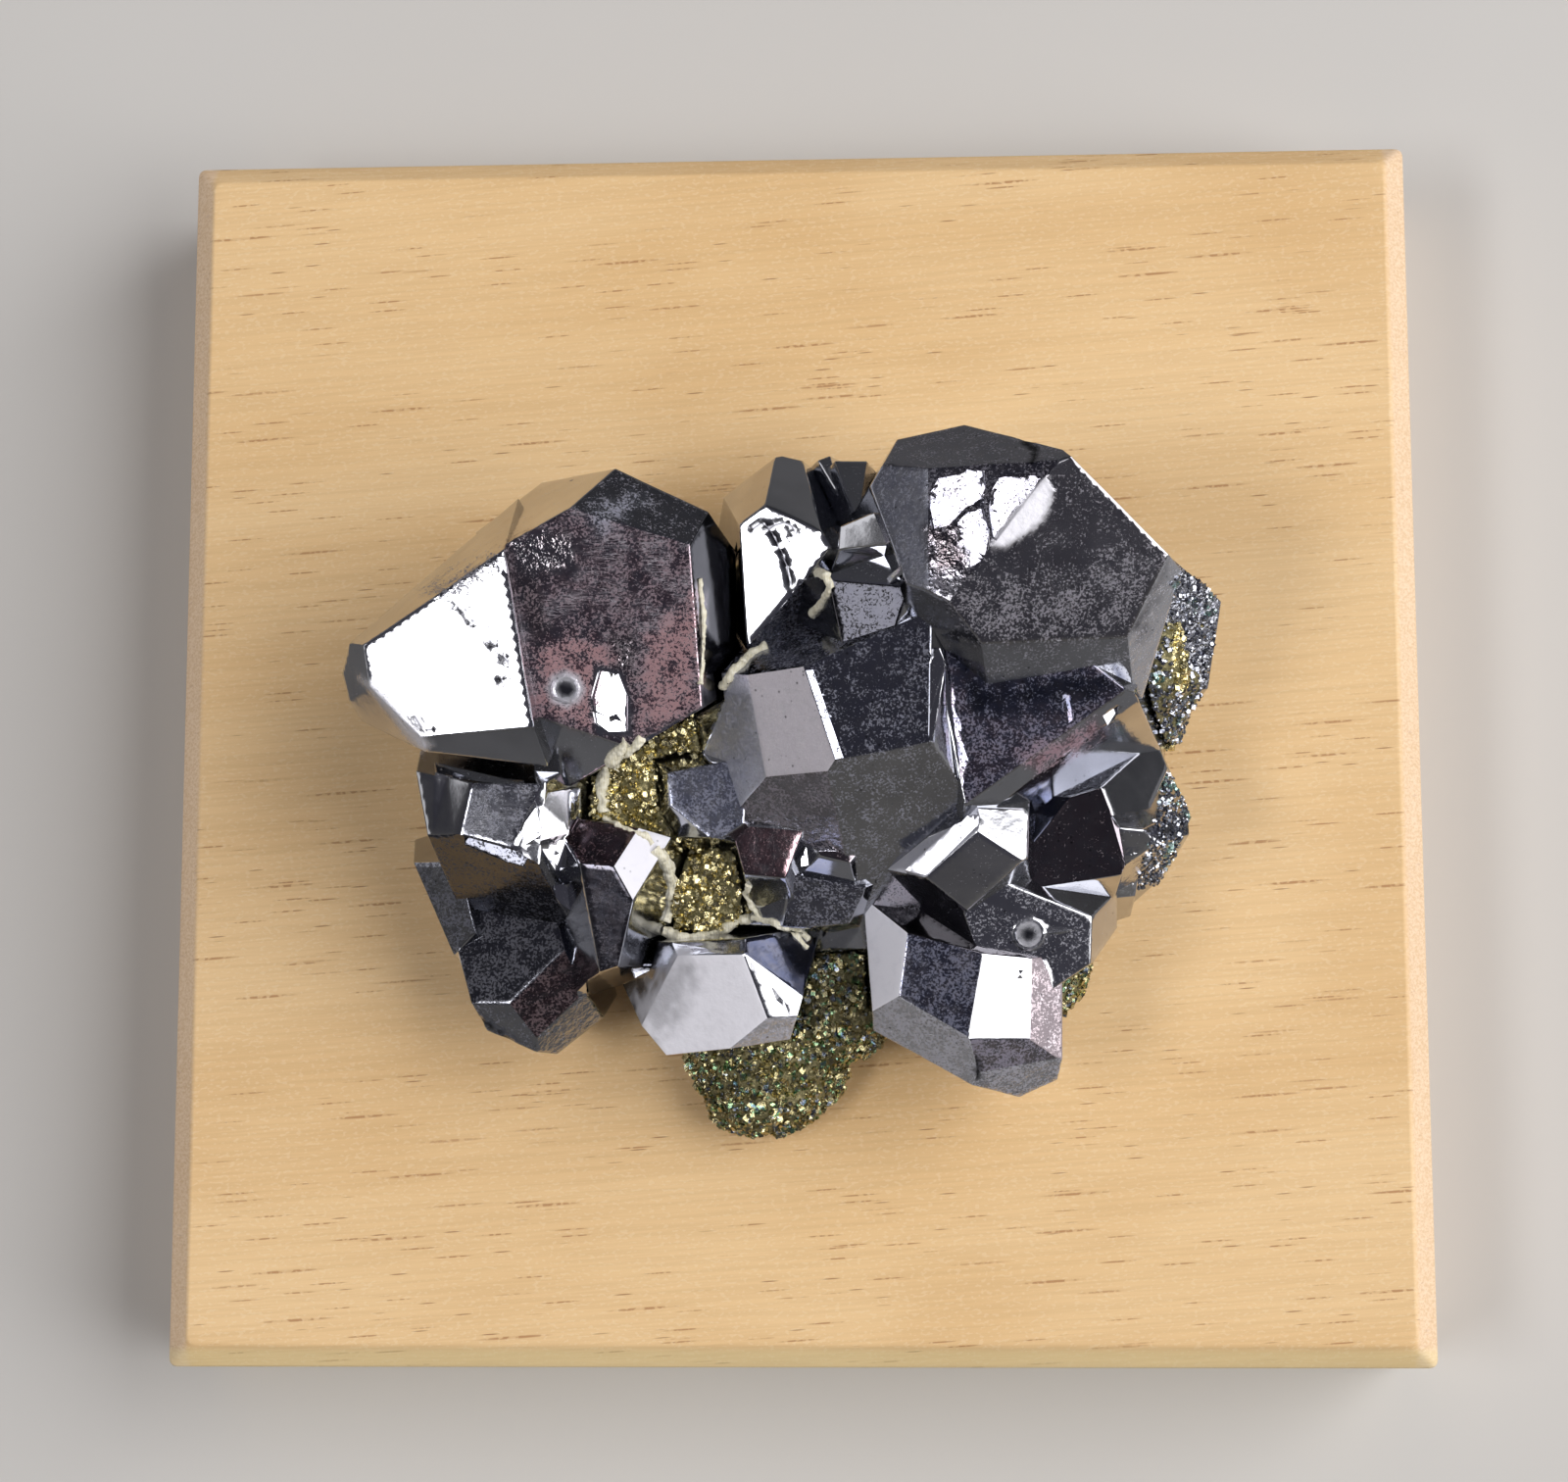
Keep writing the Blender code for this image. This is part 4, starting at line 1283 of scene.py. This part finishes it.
class SPECIMEN_OT_dress_matrix(Operator):
    """Give the pyrite matrix its small lumps and its dark olive ground"""

    bl_idname = "specimen.dress_matrix"
    bl_label = "Dress the matrix"

    def execute(self, context):
        settings = context.scene.specimen.pyrite
        made = merged_copy(MATRIX_NODE)
        refine(made, settings.facet)
        for corner in made.verts:
            spot = corner.co / MM
            lift = noise.noise(spot * 1.1) + 0.6 * noise.noise(spot * 2.3)
            corner.co += corner.normal * lift * settings.lump
        obj = piece("pyrite_ground", made, ground_material(settings), "pyrite", MATRIX_NODE)
        smooth_to(obj, SMOOTH["ground"])
        return {"FINISHED"}


class SPECIMEN_OT_grow_grains(Operator):
    """Grow the pyrite grains over the matrix"""

    bl_idname = "specimen.grow_grains"
    bl_label = "Grow the grains"

    def execute(self, context):
        settings = context.scene.specimen.pyrite
        ground = bpy.data.objects["pyrite_ground"]
        crystals = node_tree(GALENA_NODES)
        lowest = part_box(BLOCK_NODE)[1].z + BLOCK_CLEARANCE

        def density(middles, normals):
            rates = np.zeros(len(middles))
            for i, (middle, normal) in enumerate(zip(middles, normals)):
                place = Vector(middle)
                if crystals.find_nearest(place, CRYSTAL_CLEARANCE)[0] is not None or middle[2] < lowest:
                    continue
                sight = (CAMERA_PLACE - place).normalized()
                covered = crystals.ray_cast(place + Vector(normal) * 0.1 * MM, sight)[0] is not None
                rates[i] = settings.hidden if covered or sight.dot(Vector(normal)) < 0.1 else settings.seen
            return rates * SQUARE_CENTIMETRES

        places, normals = scatter(ground, density, SEEDS["places"])
        rng = np.random.default_rng(SEEDS["sizes"])
        sizes = settings.smallest + (settings.largest - settings.smallest) * rng.random(len(places)) ** 1.6
        spots = picture_spots(places)
        silver = inside_outline(spots, DRUSE_OUTLINE) & (from_line(spots, GOLD_STREAK) > GOLD_STREAK_WIDTH)
        toe = (places[:, 1] < TOE_FROM) & ~silver
        back = ~toe & ~silver
        gold = pyrite_material(settings, "pyrite gold", 1.0, 0.0)
        dusky = pyrite_material(settings, "pyrite dusky", 0.62, 0.55)
        for name, chosen, scale, material, slot, seed in (
            ("pyrite_grains", back, 1.0, gold, "pyrite", "gold"),
            ("pyrite_grains_toe", toe, 1.0, dusky, "pyrite", "toe"),
            ("silver_druse", silver, 0.8, silver_material(), "galena", "silver"),
        ):
            grow(name, places[chosen], normals[chosen], sizes[chosen] * scale, material, slot, SEEDS[seed])
        return {"FINISHED"}


class SPECIMEN_OT_grow_druse(Operator):
    """Grow the small silvery crystals over the right rim and the rough edge"""

    bl_idname = "specimen.grow_druse"
    bl_label = "Grow the druse"

    def execute(self, context):
        settings = context.scene.specimen.pyrite
        host = bpy.data.objects["galena_right_dressed"]
        everything = node_tree(GALENA_NODES + (MATRIX_NODE,))

        def density(middles, normals):
            spots = picture_spots(middles)
            rates = np.zeros(len(middles))
            for outline in DRUSE_PATCHES.values():
                rates[inside_outline(spots, outline)] = settings.seen * 1.2
            for i in np.nonzero(rates)[0]:
                if not in_sight(everything, Vector(middles[i])):
                    rates[i] = 0
            return rates * SQUARE_CENTIMETRES

        places, normals = scatter(host, density, SEEDS["rim places"])
        rng = np.random.default_rng(SEEDS["rim sizes"])
        sizes = settings.smallest * (0.75 + 0.9 * rng.random(len(places)) ** 2)
        material = bpy.data.materials["silver druse"]
        grow("rim_druse", places, normals, sizes, material, "galena", SEEDS["rim"])
        return {"FINISHED"}


class SPECIMEN_OT_lay_rims(Operator):
    """Lay the thin cream carbonate rims where crystals meet the matrix"""

    bl_idname = "specimen.lay_rims"
    bl_label = "Lay the rims"

    def execute(self, context):
        settings = context.scene.specimen.rims
        tree = node_tree(GALENA_NODES + (MATRIX_NODE,))
        made = bmesh.new()
        for name, (spots, thickness) in CREAM_RIMS.items():
            places = []
            for first, second in zip(spots, spots[1:]):
                for t in np.arange(RIM_POINTS) / RIM_POINTS:
                    spot = (first[0] * (1 - t) + second[0] * t, first[1] * (1 - t) + second[1] * t)
                    places.append(tree.ray_cast(CAMERA_PLACE, picture_ray(spot))[0])
            heights = np.array([place.z for place in places])
            padded = np.pad(heights, RIM_NEIGHBOURS, mode="edge")
            window = 2 * RIM_NEIGHBOURS + 1
            level = [float(np.median(padded[i:i + window])) for i in range(len(heights))]
            level = [max(low, high - RIM_SINK) for low, high in zip(level, heights)]
            curve = bpy.data.curves.new(name, "CURVE")
            curve.dimensions = "3D"
            curve.bevel_depth = thickness / 2 * MM
            curve.bevel_resolution = 3
            curve.use_fill_caps = True
            line = curve.splines.new("POLY")
            line.points.add(len(places) - 1)
            for i, (point, place) in enumerate(zip(line.points, places)):
                point.co = (place.x, place.y, level[i] + RIM_LIFT, 1.0)
                point.radius = 0.8 + 0.45 * noise.noise(Vector((place.x, place.y, 0)) / MM * 0.9)
            tube = bpy.data.objects.new(name, curve)
            mesh = bpy.data.meshes.new_from_object(tube)
            made.from_mesh(mesh)
            bpy.data.objects.remove(tube)
            bpy.data.meshes.remove(mesh)
        bmesh.ops.remove_doubles(made, verts=made.verts, dist=1e-6)
        refine(made, 0.16 * MM)
        for corner in made.verts:
            spot = corner.co / MM
            lift = noise.noise(spot * 1.2) + 0.6 * noise.noise(spot * 3.4)
            corner.co += corner.normal * lift * settings.lump
        bmesh.ops.recalc_face_normals(made, faces=made.faces)
        obj = piece("carbonate_rims", made, cream_material(settings), None)
        smooth_to(obj, SMOOTH["rims"])
        return {"FINISHED"}


class SPECIMEN_OT_set_stage(Operator):
    """Set the floor, the three softboxes, the dim surroundings and the camera"""

    bl_idname = "specimen.set_stage"
    bl_label = "Set the stage"

    def execute(self, context):
        settings = context.scene.specimen.stage
        made = bmesh.new()
        bmesh.ops.create_grid(made, x_segments=1, y_segments=1, size=FLOOR_HALF_WIDTH)
        floor = new_object("floor", new_mesh("floor", made))
        material, tree, shader, vector = new_material("pale floor")
        tint = blend(tree, cloud(tree, vector, 0.02, 1.0), four(settings.floor), four(settings.floor, 0.96))
        # Painted dark reflection: the floor turns darker only where the crystals mirror it
        glossy = tree.nodes.new("ShaderNodeLightPath").outputs["Is Glossy Ray"]
        tint = blend(tree, glossy, tint, four([settings.mirrored] * 3))
        fill(tree, shader, {"Base Color": tint, "Roughness": 0.8})
        floor.data.materials.append(material)
        for name, stand in SOFTBOXES.items():
            lamp = bpy.data.lights.new(name + " softbox", "AREA")
            lamp.shape = "RECTANGLE"
            lamp.size = stand["width"]
            lamp.size_y = stand["height"]
            lamp.energy = settings.softbox * stand["power"] * math.pi * stand["width"] * stand["height"]
            lamp.color = LAMP_COLOUR
            obj = new_object(name + " softbox", lamp)
            way = softbox_way(stand)
            obj.location = way * SOFTBOX_DISTANCE
            obj.rotation_euler = way.to_track_quat("Z", "Y").to_euler()
        world = bpy.data.worlds.new("dim studio")
        context.scene.world = world
        world.use_nodes = True
        tree = world.node_tree
        tree.nodes.clear()
        spot = tree.nodes.new("ShaderNodeTexCoord").outputs["Generated"]
        away, up = shader_node(tree, "ShaderNodeSeparateXYZ", Vector=spot).outputs[1:]
        low = blend(tree, between(tree, away, 0.35, -0.35), four(settings.back), four(settings.front))
        sky = blend(tree, between(tree, up, 0.25, 0.75), low, four(settings.overhead))
        light = shader_node(tree, "ShaderNodeBackground", Color=sky, Strength=1.0)
        out = tree.nodes.new("ShaderNodeOutputWorld")
        tree.links.new(light.outputs[0], out.inputs[0])
        camera = bpy.data.cameras.new("camera")
        camera.sensor_width = SENSOR_WIDTH
        camera.lens = FOCAL_PIXELS * SENSOR_WIDTH / PICTURE_WIDTH
        camera.clip_start = 0.01
        obj = new_object("camera", camera)
        obj.location = CAMERA_PLACE
        obj.rotation_euler = CAMERA_TURN
        context.scene.camera = obj
        context.scene.view_settings.view_transform = "Standard"
        return {"FINISHED"}


class SPECIMEN_PT_panel(Panel):
    bl_label = "Galena with pyrite"
    bl_idname = "SPECIMEN_PT_panel"
    bl_space_type = "VIEW_3D"
    bl_region_type = "UI"
    bl_category = "Specimen"

    def draw(self, context):
        settings = context.scene.specimen
        for label, group, operators in PANEL_ROWS:
            box = self.layout.box()
            box.label(text=label)
            values = getattr(settings, group)
            for key in values.__annotations__:
                box.prop(values, key)
            for name in operators:
                box.operator(name)


PANEL_ROWS = (
    ("Display block", "block", ("specimen.dress_block",)),
    ("Galena", "galena", ("specimen.dress_galena",)),
    ("Pyrite", "pyrite", ("specimen.dress_matrix", "specimen.grow_grains", "specimen.grow_druse")),
    ("Carbonate rims", "rims", ("specimen.lay_rims",)),
    ("Stage", "stage", ("specimen.set_stage",)),
)
CLASSES = (
    GalenaSettings,
    PyriteSettings,
    RimSettings,
    BlockSettings,
    StageSettings,
    SpecimenSettings,
    SPECIMEN_OT_dress_block,
    SPECIMEN_OT_dress_galena,
    SPECIMEN_OT_dress_matrix,
    SPECIMEN_OT_grow_grains,
    SPECIMEN_OT_grow_druse,
    SPECIMEN_OT_lay_rims,
    SPECIMEN_OT_set_stage,
    SPECIMEN_PT_panel,
)


def register():
    for item in CLASSES:
        bpy.utils.register_class(item)
    bpy.types.Scene.specimen = PointerProperty(type=SpecimenSettings)


def unregister():
    del bpy.types.Scene.specimen
    for item in reversed(CLASSES):
        bpy.utils.unregister_class(item)


def main():
    register()
    bpy.ops.specimen.dress_block()
    bpy.ops.specimen.dress_galena()
    bpy.ops.specimen.dress_matrix()
    bpy.ops.specimen.grow_grains()
    bpy.ops.specimen.grow_druse()
    bpy.ops.specimen.lay_rims()
    bpy.ops.specimen.set_stage()


if __name__ == "__main__":
    main()
